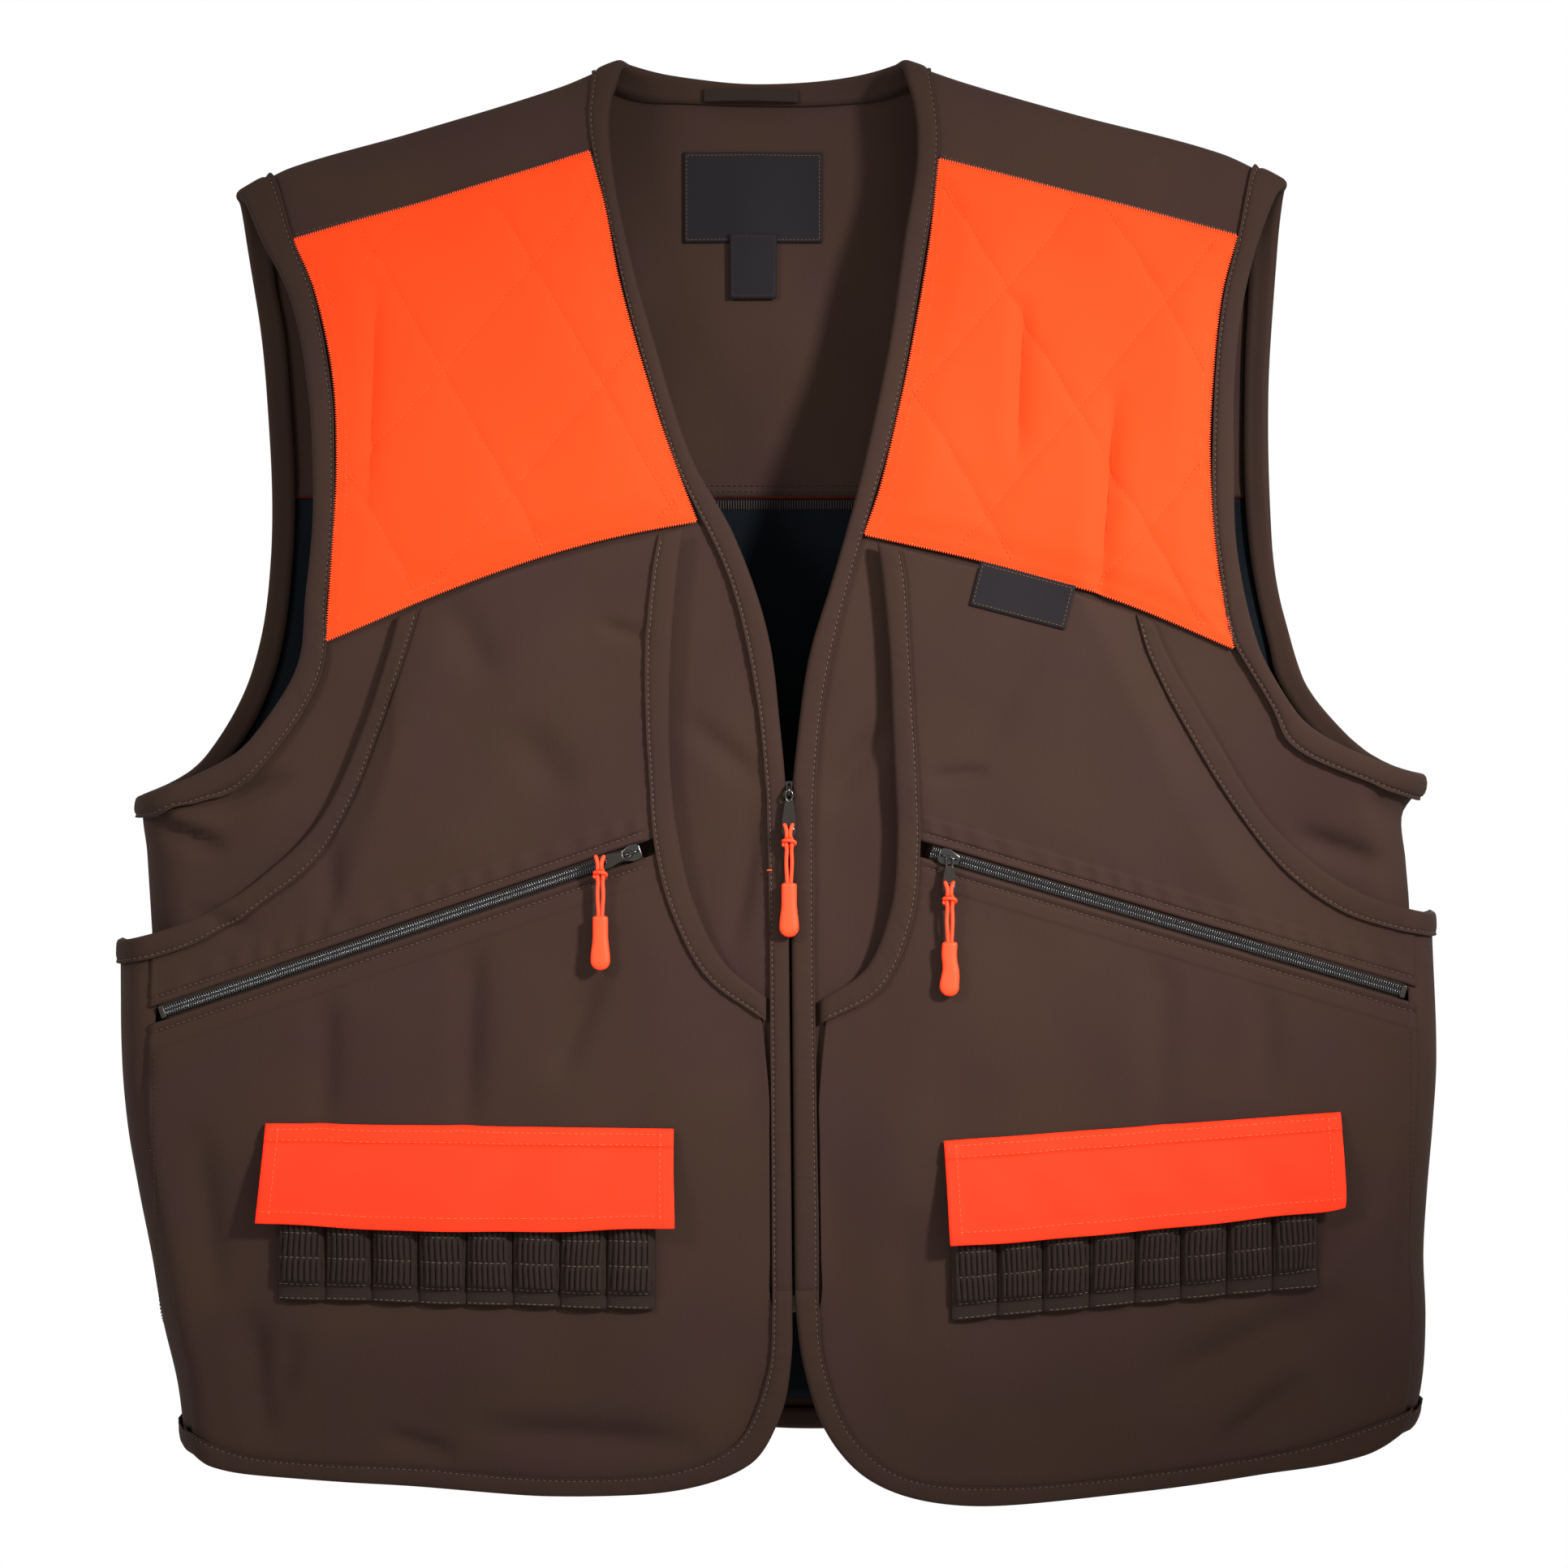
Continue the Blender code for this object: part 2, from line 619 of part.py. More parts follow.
def frame_at(origin, along, outward):
    """A local frame: X along, Z outward, origin at a point."""
    x = along.normalized()
    z = (outward - x * outward.dot(x)).normalized()
    y = z.cross(x)
    return Matrix.Translation(origin) @ Matrix((x, y, z)).transposed().to_4x4()


def outline_plate(name, outline, thickness, material_name, matrix, holes=()):
    """A flat plate with rounded corners and round holes, lying in its frame's XY plane."""
    curve = bpy.data.curves.new(name, "CURVE")
    curve.dimensions = "2D"
    curve.fill_mode = "BOTH"
    curve.extrude = thickness / 2
    rings = [outline]
    for x, y, radius in holes:
        turns = [2 * math.pi * i / 10 for i in range(10)]
        rings.append([(x + radius * math.cos(a), y - radius * math.sin(a)) for a in turns])
    for ring in rings:
        spline = curve.splines.new("POLY")
        spline.points.add(len(ring) - 1)
        for point, (x, y) in zip(spline.points, ring):
            point.co = (x, y, 0, 1)
        spline.use_cyclic_u = True
    obj = add(name, curve, material_name)
    obj.matrix_world = matrix
    return obj


def tube(name, points, radius, material_name, matrix):
    curve = bpy.data.curves.new(name, "CURVE")
    curve.dimensions = "3D"
    curve.bevel_depth = radius
    curve.bevel_resolution = 2
    curve.use_fill_caps = True
    spline = curve.splines.new("POLY")
    spline.points.add(len(points) - 1)
    for point, place in zip(spline.points, points):
        point.co = (*place, 1)
    obj = add(name, curve, material_name)
    obj.matrix_world = matrix
    return obj


def make_body(side_name, side):
    """One front, its yoke, its quilted patch and its edge bindings."""
    sign = side["sign"]
    free = on(BODY.front, side["front_free"])
    seam = on(BODY.front, side["front_seam"])
    arm_free = on(BODY.front, side["arm_front_free"])
    arm_seam = on(BODY.front, side["arm_front_seam"])

    # The front panel runs from under the yoke to just above the hem.
    inner = stretch(between(free, seam, 0.35), 0.085, 0.985)
    outer_top = stretch(between(arm_free, arm_seam, CUT), 0.125, 0.995)
    side_line = rail([
        (sign * (BODY.apex - 0.0004), BODY.front(sign * SIDE, z)[1])
        for z in (armpit_z(side), -0.50, -0.62, side["side_bottom_z"])
    ])
    outer = joined(outer_top, side_line)
    low_row = [BODY.front(sign * x, FRONT_PANEL_FOOT) for x in (0.20, 0.09)]
    bottom = rail([outer(1), *low_row, inner(1)])
    panel(
        f"front_panel_{side_name}", BODY,
        filled(bottom, backwards(inner), on_top(side, inner, outer), backwards(outer)),
        ([(0.14, 4), (1, 6)], [(0.5, 5), (0.62, 5), (1, 6)]), 0,
    )

    # The yoke wraps over the shoulder from the patch to the upper back.
    yoke_front = on(BODY.front, side["yoke_front"])
    yoke_back = on(BODY.back, side["yoke_back"])
    neck_x = side["front_seam"][0][0] + sign * 0.0032
    neck_edge = rail([
        yoke_back(1), BODY.back(neck_x, -0.008), (BODY.front(neck_x, 0.03)[0], 0),
        BODY.front(neck_x, -0.008), yoke_front(1),
    ])
    arm_x = side["arm_front_seam"][0][0] - sign * 0.0015
    arm_edge = rail([
        yoke_back(0), BODY.back(arm_x, -0.064), (BODY.front(arm_x, 0)[0], 0),
        BODY.front(arm_x, -0.064), yoke_front(0),
    ])
    panel(
        f"shoulder_yoke_{side_name}", BODY,
        filled(yoke_back, neck_edge, yoke_front, arm_edge), (6, 12), LAYER,
    )

    patch = {edge: on(BODY.front, points) for edge, points in side["patch"].items()}
    cover = filled(
        patch["bottom"], backwards(patch["inner"]), patch["top"], backwards(patch["outer"])
    )
    rim = 0.14  # share of the patch that slopes down to its sewn edge

    def crown(u, w):
        edge = min(u, 1 - u, w, 1 - w)
        return 2 * LAYER + 0.0002 + (BATTING + 0.0006) * ramp(edge, 0, rim - 0.015)

    def inset(u, w):
        return cover(rim + (1 - 2 * rim) * u, rim + (1 - 2 * rim) * w)

    rows = [[(rim, 1), (1 - rim, count), (1, 1)] for count in (4, 5)]
    panel(f"quilted_patch_{side_name}", BODY, cover, rows, crown, "orange_quilt", 0.0008)
    panel(
        f"patch_batting_{side_name}", BODY, inset, (4, 5), 2 * LAYER + 0.0012, "batting",
        BATTING - 0.0003,
    )

    trimmed = [stretch(line, 0.002, 1) for line in (free, seam)]
    binding(f"front_edge_binding_{side_name}", BODY, *trimmed, [(0.14, 6), (1, 14)], BODY_BINDING)
    loop_free = joined(arm_free, backwards(on(BODY.round_side, side["arm_back_free"])))
    loop_seam = joined(arm_seam, backwards(on(BODY.round_side, side["arm_back_seam"])))
    binding(
        f"armhole_binding_{side_name}", BODY, loop_free, loop_seam,
        [(0.09, 6), (0.41, 6), (0.59, 12), (0.91, 6), (1, 6)], ARMHOLE_BINDING, closed=True,
    )


def armpit_z(side):
    """The height on the side fold of the cut edges inside the armhole binding."""
    free, seam = side["arm_front_free"][-1][1], side["arm_front_seam"][-1][1]
    return free + (seam - free) * CUT


def on_top(side, inner, outer):
    """The top edge of a front panel, between the ends of its two sides."""
    middle = [BODY.front(x, z) for x, z in side["panel_top"][1:-1]]
    return rail([outer(0), *middle, inner(0)])


def make_back():
    """The upper back, its lining below, the outer back cloth and the neck binding."""
    neck_free = on(BODY.back, NECK_FREE)
    neck_seam = on(BODY.back, NECK_SEAM)
    arm = {}
    for side in (RIGHT, LEFT):
        free = on(BODY.back, side["arm_back_free"])
        seam = on(BODY.back, side["arm_back_seam"])
        arm[side["sign"]] = between(free, seam, CUT)

    def arm_edge(sign, start, end):
        return stretch(arm[sign], start, end)

    tips = [BODY.point(*arm[sign](0.14)) for sign in (-1, 1)]
    top = on(BODY.back, [(tips[0].x, tips[0].z), *UPPER_BACK_TOP, (tips[1].x, tips[1].z)])
    above = {sign: share_at(arm[sign], WAIST_SEAM_Z) for sign in (-1, 1)}
    below = {sign: share_at(arm[sign], WAIST_SEAM_Z - SEAM_GAP) for sign in (-1, 1)}

    def across_back(z, ends):
        tips = [BODY.point(*arm[sign](ends[sign])) for sign in (-1, 1)]
        return on(BODY.back, [(tips[0].x, tips[0].z), (-0.10, z), (0.14, z), (tips[1].x, tips[1].z)])

    seam_line = across_back(WAIST_SEAM_Z, above)
    panel(
        "upper_back_panel", BODY,
        filled(
            seam_line, backwards(arm_edge(1, 0.14, above[1])), top,
            backwards(arm_edge(-1, 0.14, above[-1])),
        ),
        ([(0.28, 4), (0.72, 10), (1, 4)], [(0.8, 4), (1, 3)]), 0,
    )

    def lower_side(sign, side):
        side_line = rail([
            (sign * (BODY.apex - 0.0004), -BODY.front(sign * SIDE, z)[1])
            for z in (armpit_z(side), -0.50, -0.62, side["side_bottom_z"])
        ])
        return joined(arm_edge(sign, below[sign], 0.985), side_line)

    low = {1: lower_side(1, LEFT), -1: lower_side(-1, RIGHT)}
    lining_top = across_back(WAIST_SEAM_Z - SEAM_GAP, below)
    hem_row = along_curve([(-0.25, BACK_HEM_Z + 0.012), (0.29, BACK_HEM_Z + 0.012)], 9)
    hem = rail([low[-1](1), *[BODY.back(x, z) for x, z in hem_row], low[1](1)])
    panel(
        "back_lining", BODY,
        filled(hem, backwards(low[1]), lining_top, backwards(low[-1])),
        ([(0.1, 4), (0.9, 9), (1, 4)], [(0.5, 4), (0.72, 5), (1, 3)]), 0, "lining",
    )

    # The outer back cloth covers the upper back from the yokes to inside the game bag.
    outer_low = {s: share_at(arm[s], -0.345) for s in (1, -1)}
    top_row = along_curve([(-0.20, -0.090), (0.008, -0.050), (0.22, -0.088)], 7)
    outer_top = rail([arm[-1](0.22), *[BODY.back(x, z) for x, z in top_row], arm[1](0.22)])
    low_row = along_curve([(-0.22, -0.430), (-0.12, -0.470), (0.15, -0.470), (0.26, -0.430)], 9)
    outer_bottom = rail([
        arm[-1](outer_low[-1]), *[BODY.back(x, z) for x, z in low_row], arm[1](outer_low[1]),
    ])
    panel(
        "outer_back_panel", BODY,
        filled(
            outer_bottom, backwards(arm_edge(1, 0.22, outer_low[1])), outer_top,
            backwards(arm_edge(-1, 0.22, outer_low[-1])),
        ),
        (12, 7), LAYER, "orange_cloth",
    )
    binding(
        "back_neck_binding", BODY, stretch(neck_free, 0.002, 0.998), stretch(neck_seam, 0.002, 0.998),
        12, BODY_BINDING,
    )


def share_at(line, z):
    """Where along a line of back places its height is z."""
    low, high = 0.0, 1.0
    for _ in range(40):
        middle = (low + high) / 2
        if BODY.point(*line(middle)).z > z:
            low = middle
        else:
            high = middle
    return low


def zip_ends(side):
    """The two ends of a pocket zip on the pocket layer, and the outward normal between them."""
    inner = BAG.point(*BAG.front(*side["zip_inner"]))
    outer = BAG.point(*BAG.front(*side["zip_outer"]))
    middle = BAG.front(*[(a + b) / 2 for a, b in zip(side["zip_inner"], side["zip_outer"])])
    return inner, outer, BAG.normal(*middle)


def make_pockets(side_name, side):
    """The pocket layer in two pieces, above and below its zip, with its bindings."""
    bib_free = on(BAG.front, side["bib_free"])
    bib_seam = on(BAG.front, side["bib_seam"])
    mouth_free = on(BAG.front, side["mouth_free"])
    mouth_seam = on(BAG.front, side["mouth_seam"])
    bib = between(bib_free, bib_seam, CUT)
    mouth = between(mouth_free, mouth_seam, CUT)

    (xi, zi), (xo, zo) = side["zip_inner"], side["zip_outer"]
    half_slot = SLOT_WIDTH / 2 / math.cos(math.atan2(zi - zo, abs(xo - xi)))
    seam_x = side["side_seam_x"]
    slope = (zo - zi) / (xo - xi)

    def zip_line(x, lift):
        return BAG.front(x, zi + slope * (x - xi) + lift)

    def mouth_meets(lift):
        """The share of the mouth line at which an edge of the slot meets it."""

        def miss(i):
            spot = BAG.point(*mouth(i / 400))
            return abs(spot.z - (zi + slope * (spot.x - xi) + lift))

        return min(range(400), key=miss) / 400

    def slot_edge(lift):
        """The places along one edge of the slot, short of the mouth."""
        return [zip_line(seam_x + (xi - seam_x) * i / 12, lift) for i in range(12)]

    over, under = mouth_meets(half_slot), mouth_meets(-half_slot)
    bib_end = min(range(400), key=lambda i: abs(BAG.point(*bib(i / 400)).x - seam_x)) / 400
    above = rail([*slot_edge(half_slot), mouth(over)])
    (xb, zb), (xm, zm) = side["patch"]["bottom"][1], side["patch"]["bottom"][2]
    top = rail([bib(0), BAG.front((xb + xm) / 2, (zb + zm) / 2 - 0.003), mouth(0)])
    seam_rise = rail([bib(bib_end), zip_line(seam_x, half_slot)])
    outer_line = lambda t: bib(t / 0.8 * bib_end) if t < 0.8 else seam_rise((t - 0.8) / 0.2)
    panel(
        f"pocket_upper_panel_{side_name}", BAG,
        filled(above, backwards(stretch(mouth, 0, over)), top, backwards(outer_line)),
        (8, [(0.2, 2), (0.6, 9), (1, 5)]), 0, thickness=POCKET_CLOTH,
    )

    front_free = on(BODY.front, side["front_free"])
    front_seam = on(BODY.front, side["front_seam"])
    edge_points = []
    for i in range(7):
        t = 0.805 + 0.19 * i / 6
        spot = BODY.point(*between(front_free, front_seam, 1.12)(t))
        edge_points.append(BAG.front(spot.x, spot.z))
    below = rail([*slot_edge(-half_slot), mouth(under)])
    lower_mouth = stretch(mouth, under, 0.985)
    hem_free = on(BAG.front, side["hem_free"])
    hem_seam = on(BAG.front, side["hem_seam"])
    hem = between(hem_free, hem_seam, CUT)
    side_bottom = [
        BAG.front(seam_x, zo - 0.07),
        BAG.front(side["bag_side"][-3][0] - side["sign"] * 0.012, side["bag_side"][-3][1]),
    ]
    side_line = rail([zip_line(seam_x, -half_slot), *side_bottom, hem(0.985)])
    top_line = lambda t: below(2 * t) if t < 0.5 else lower_mouth(2 * t - 1)
    bottom_line = backwards(stretch(hem, 0.05, 0.985))
    right_line = rail([bottom_line(1), *reversed(edge_points[1:]), top_line(1)])
    panel(
        f"pocket_lower_panel_{side_name}", BAG,
        filled(bottom_line, right_line, top_line, backwards(side_line)),
        ([(0.16, 5), (1, 11)], 10), 0,
        thickness=POCKET_CLOTH,
    )
    for name, edge, stitched, cells in (
        ("pocket_side", bib_free, bib_seam, [(0.64, 10), (1, 10)]),
        ("pocket_mouth", mouth_free, mouth_seam, 14),
        ("hem", hem_free, hem_seam, [(0.3, 8), (0.88, 8), (1, 5)]),
    ):
        binding(f"{name}_binding_{side_name}", BAG, edge, stitched, cells, BAG_BINDING)

    # The back of the zipped pocket: one cloth sewn behind the layer, below the zip's tape.
    def bag_place(u, w):
        x = xi + (seam_x - xi) * (0.07 + 0.80 * u)
        top_z = zi + slope * (x - xi) - TAPE_WIDTH / 2 - 0.002
        return BAG.front(x, top_z - 0.105 * w)

    def bag_lift(u, w):
        return -0.0018 - 0.0008 * ramp(min(u, 1 - u, w, 1 - w), 0, 0.16)

    panel(f"pocket_bag_{side_name}", BAG, bag_place, (8, 5), bag_lift, "lining", 0.0006)


def make_game_bag():
    """The bag's outer cloth, from one front side seam round the back to the other."""
    rows = {}
    for side in (RIGHT, LEFT):
        seam_x = side["side_seam_x"]
        top_z = share_height(side, seam_x)
        bottom = on(BAG.front, side["hem_free"])(0.995)
        low = BAG.point(*bottom)
        rows[side["sign"]] = rail([
            BAG.seam_front(seam_x + side["sign"] * 0.0008, top_z),
            BAG.seam_front(seam_x + side["sign"] * 0.0010, (top_z + low.z) / 2),
            BAG.seam_front(low.x + side["sign"] * 0.0008, low.z + 0.010),
        ])

    def side_fold(sign, z):
        return sign * BAG.apex, -BAG.front(sign * SIDE, z)[1]

    def across_back(ends, middle):
        """Places along the back, between the heights of a line on the two side folds."""
        row = along_curve([(-0.29, ends[0]), (-0.20, middle), (0.24, middle), (0.32, ends[1])], 11)
        return [side_fold(-1, ends[0]), *[BAG.back(x, z) for x, z in row], side_fold(1, ends[1])]

    top = rail([rows[-1](0), *across_back((-0.4614, -0.4464), BAG_TOP_Z - 0.0054), rows[1](0)])
    bottom = rail([rows[-1](1), *across_back((-0.722, -0.713), BACK_HEM_Z + 0.002), rows[1](1)])
    panel(
        "game_bag_panel", BAG, filled(bottom, backwards(rows[1]), top, backwards(rows[-1])),
        ([(0.13, 11), (0.87, 11), (1, 11)], 8), 0, thickness=POCKET_CLOTH,
    )
    free_top = rail(across_back((-0.456, -0.441), BAG_TOP_Z))
    seam_top = rail(across_back((-0.468, -0.453), BAG_TOP_Z - 0.012))
    trimmed = lambda line: stretch(line, 0.004, 0.996)
    round_sides = [(0.08, 6), (0.92, 12), (1, 6)]
    binding("game_bag_binding", BAG, trimmed(free_top), trimmed(seam_top), round_sides, BAG_BINDING)
    free_low = rail([
        BAG.seam_front(-0.3005, -0.727), *across_back((-0.727, -0.718), BACK_HEM_Z - 0.003),
        BAG.seam_front(0.3515, -0.718),
    ])
    seam_low = rail([
        BAG.seam_front(-0.3005, -0.716), *across_back((-0.716, -0.707), BACK_HEM_Z + 0.008),
        BAG.seam_front(0.3515, -0.707),
    ])
    round_sides = [(0.13, 11), (0.87, 11), (1, 11)]
    binding("back_hem_binding", BAG, trimmed(free_low), trimmed(seam_low), round_sides, BAG_BINDING)


def share_height(side, x):
    """The height of the bag's cut edge under its binding, above a place on the side seam."""
    free = on(BAG.front, side["bib_free"])
    seam = on(BAG.front, side["bib_seam"])
    line = between(free, seam, CUT)
    best = min((abs(BAG.point(*line(i / 400)).x - x), i) for i in range(401))
    return BAG.point(*line(best[1] / 400)).z


def make_slider(name, matrix, neck_length=0.0):
    """A slider's plate with the ring that carries its tab, and a thin neck where it needs one."""
    length, width, thickness = SLIDER
    plate = block(
        name, (length, width, thickness), "gunmetal", matrix, (0, 0, thickness / 2), bevel=0.0006
    )
    pieces = []
    if neck_length:
        shape = bmesh.new()
        bmesh.ops.create_cube(shape, size=1)
        for vertex in shape.verts:
            vertex.co.x *= 0.007
            vertex.co.y *= 0.0006
            vertex.co.z = thickness / 2 + (vertex.co.z + 0.5) * (neck_length + 0.001)
        pieces.append(mesh_object(name + "_neck", shape, "gunmetal", matrix, cutters))
    ring_radius, wire = CROWN_RING
    bpy.ops.mesh.primitive_torus_add(
        major_radius=ring_radius, minor_radius=wire, major_segments=12, minor_segments=6,
    )
    ring = bpy.context.object
    ring.name = name + "_ring"
    ring.data.materials.append(material("gunmetal"))
    for collection in list(ring.users_collection):
        collection.objects.unlink(ring)
    cutters.objects.link(ring)
    lift = thickness + neck_length + ring_radius * 0.75
    ring.matrix_world = matrix @ Matrix.Translation((0, 0, lift)) @ Matrix.Rotation(math.pi / 2, 4, "X")
    pieces.append(ring)
    for piece in pieces:
        piece.hide_render = True
        piece.display_type = "WIRE"
        union = plate.modifiers.new("join", "BOOLEAN")
        union.operation = "UNION"
        union.object = piece
    return plate


def make_pull(suffix, matrix, tab_length, cord_length, grip_length, cord_matrix):
    """A tab, its cord and the moulded grip. Each frame's -X axis runs down the piece, Z out."""
    half = TAB_WIDTH / 2
    neck = half * 0.55
    tab_outline = [
        (0, -neck), (0, neck), (-tab_length * 0.6, half), (-tab_length + half * 0.6, half),
        (-tab_length, half * 0.5), (-tab_length, -half * 0.5), (-tab_length + half * 0.6, -half),
        (-tab_length * 0.6, -half),
    ]
    outline_plate(
        f"{suffix[0]}_tab{suffix[1]}", tab_outline, 0.0012, "gunmetal", matrix,
        holes=[(-tab_length + half * 0.9, 0, half * 0.5)],
    )
    points = []
    spread = CORD_RADIUS * 1.2
    for i in range(5):
        share = i / 4
        width = spread + (CORD_EYE - spread) * ramp(share, 0.45, 1)
        points.append((-cord_length * (1 - share) - CORD_EYE, -width, 0))
    for i in range(1, 6):
        turn = math.pi * i / 6
        points.append((-CORD_EYE + CORD_EYE * math.sin(turn), -CORD_EYE * math.cos(turn), 0))
    points += [(x, -y, z) for x, y, z in reversed(points[:5])]
    tube(f"{suffix[0]}_cord{suffix[1]}", points, CORD_RADIUS, "orange_cord", cord_matrix)

    shape = bmesh.new()
    bmesh.ops.create_uvsphere(shape, u_segments=10, v_segments=8, radius=0.5)
    top = -cord_length - CORD_EYE - 0.0003
    for vertex in shape.verts:
        share = 0.5 - vertex.co.z
        width = GRIP[0] * (0.80 + 0.20 * ramp(share, 0.1, 0.7))
        squarer = 1 / max(abs(2 * vertex.co.z), math.hypot(vertex.co.x, vertex.co.y) * 2, 1e-6) ** 0.35
        vertex.co = Vector((
            top - grip_length * share, vertex.co.x * width * squarer, vertex.co.y * GRIP[1] * squarer,
        ))
    bmesh.ops.recalc_face_normals(shape, faces=shape.faces)
    mesh_object(
        f"{suffix[0]}_grip{suffix[1]}", shape, "orange_grip", cord_matrix, smooth_angle=50
    )


DOWN = Vector((0, 0, -1))


def make_pocket_zip(side_name, side):
    inner, outer, outward = zip_ends(side)
    along = outer - inner
    length = along.length
    lie = frame_at((inner + outer) / 2, along, outward)
    block(
        f"pocket_zip_tape_{side_name}", (length - 0.024, TAPE_WIDTH, TAPE_CLOTH), "tape", lie,
        (-0.011, 0, -POCKET_TAPE_DEPTH),
    )
    block(
        f"pocket_zip_coil_{side_name}", (length - 0.006, COIL_WIDTH, COIL_HEIGHT), "coil", lie,
        (0, 0, -0.0007 + COIL_HEIGHT / 2), bevel=0.0005,
    )
    at_slider = frame_at(inner + along.normalized() * side["slider_at"], along, outward)
    plate_at = at_slider @ Matrix.Translation((0, 0, POCKET_SLIDER_LIFT))
    make_slider(f"pocket_zip_slider_{side_name}", plate_at)
    ring_lift = POCKET_SLIDER_LIFT + SLIDER[2] + CROWN_RING[0] * 0.75
    crown = at_slider @ Vector((0, 0, ring_lift))
    if side_name == "right":
        # This tab lies along its zip, and the cord hangs from its end.
        tab_along = -along.normalized()
        tab_start = crown + along.normalized() * 0.0046
        tab_length = 0.0150
        tab_frame = frame_at(tab_start + outward * 0.0006, tab_along, outward)
        cord_top = tab_start + along.normalized() * (tab_length - TAB_WIDTH * 0.4) + outward * 0.0022
    else:
        tab_along = -DOWN
        tab_start = crown + DOWN * 0.0050
        tab_length = 0.0150
        tab_frame = frame_at(tab_start + outward * 0.0006, tab_along, outward)
        cord_top = tab_start + DOWN * (tab_length - TAB_WIDTH * 0.4) + outward * 0.0022
    cord_frame = frame_at(cord_top + DOWN * -0.002, -DOWN, outward)
    make_pull(
        ("pocket_zip", "_" + side_name), tab_frame, tab_length, 0.0270, 0.0285, cord_frame
    )


def make_centre_zip():
    """The separating zip behind the two front edges, with the box at its foot."""
    top = BODY.point(*BODY.front(*CENTRE_ZIP_TOP))
    bottom = BODY.point(*BODY.front(*CENTRE_ZIP_BOTTOM))
    outward = Vector((0, -1, 0))
    along = bottom - top
    length = along.length
    lie = frame_at((top + bottom) / 2, along, outward)
    for side_name, sign in (("right", -1), ("left", 1)):
        # Looking down the zip with Z towards the front, its Y axis points to the wearer's left.
        tape_width = 0.013
        block(
            f"front_zip_tape_{side_name}", (length + 0.006, tape_width, TAPE_CLOTH), "tape", lie,
            (0.003, sign * (tape_width / 2 + 0.0004), -0.0078),
        )
        block(
            f"front_zip_coil_{side_name}", (length - 0.004, COIL_WIDTH / 2 - 0.0003, COIL_HEIGHT),
            "coil", lie, (0, sign * (COIL_WIDTH / 4 + 0.00015), -0.0071 + COIL_HEIGHT / 2),
        )
    block(
        "front_zip_box", (0.009, 0.010, 0.0040), "gunmetal", lie,
        (length / 2 + 0.0030 + 0.009 / 2, 0, -0.0051), bevel=0.0006,
    )
    at_slider = frame_at(top, along, outward)
    plate_at = at_slider @ Matrix.Translation((0, 0, FRONT_SLIDER_LIFT))
    make_slider("front_zip_slider", plate_at, FRONT_SLIDER_NECK)
    ring_lift = FRONT_SLIDER_LIFT + SLIDER[2] + FRONT_SLIDER_NECK + CROWN_RING[0] * 0.75
    crown = at_slider @ Vector((0, 0, ring_lift))
    tab_length = 0.0200
    tab_start = crown + DOWN * 0.0048
    tab_frame = frame_at(tab_start, -DOWN, outward)
    cord_top = tab_start + DOWN * (tab_length - TAB_WIDTH * 0.45) + outward * 0.0020
    make_pull(
        ("front_zip", ""), tab_frame, tab_length, 0.0265, 0.0285,
        frame_at(cord_top + DOWN * -0.002, -DOWN, outward),
    )


def make_shell_holder(side_name, side):
    """The pleated elastic with its loops, and the flap that covers their tops."""
    (xa, za), (xb, zb) = side["loops"]
    height = side["loops_height"]

    def loops_point(u, w):
        x = xa + (xb - xa) * u
        z = za + (zb - za) * u + height * w
        arch = abs(math.sin(math.pi * LOOP_COUNT * u)) ** 0.5
        return BAG.lifted(BAG.front(x, z), 0.0013 + LOOP_RISE * arch)

    cloth(f"shell_loops_{side_name}", loops_point, (LOOP_COUNT * 4, 2), ELASTIC, "elastic")

    outer_top, inner_top, inner_low, outer_low = side["flap"]
    bow = side["flap_bow"]

    def flap_point(u, w):
        top = [a + (b - a) * u for a, b in zip(outer_top, inner_top)]
        low = [a + (b - a) * u for a, b in zip(outer_low, inner_low)]
        x, z = (a + (b - a) * w for a, b in zip(top, low))
        z -= bow * math.sin(math.pi * u) * w
        return BAG.lifted(BAG.front(x, z), 0.0016 + FLAP_RISE * math.sin(w * math.pi / 2) ** 1.2)

    # The flap's origin is on the line that it lifts about, just in front of its sewn top edge.
    hinge = (flap_point(0, 0) + flap_point(1, 0)) / 2 + Vector((0, -FLAP_HINGE_OUT, 0))
    flap = cloth(
        f"shell_flap_{side_name}", lambda u, w: flap_point(u, w) - hinge, (8, 4), CLOTH,
        "orange_cloth",
    )
    flap.location = hinge


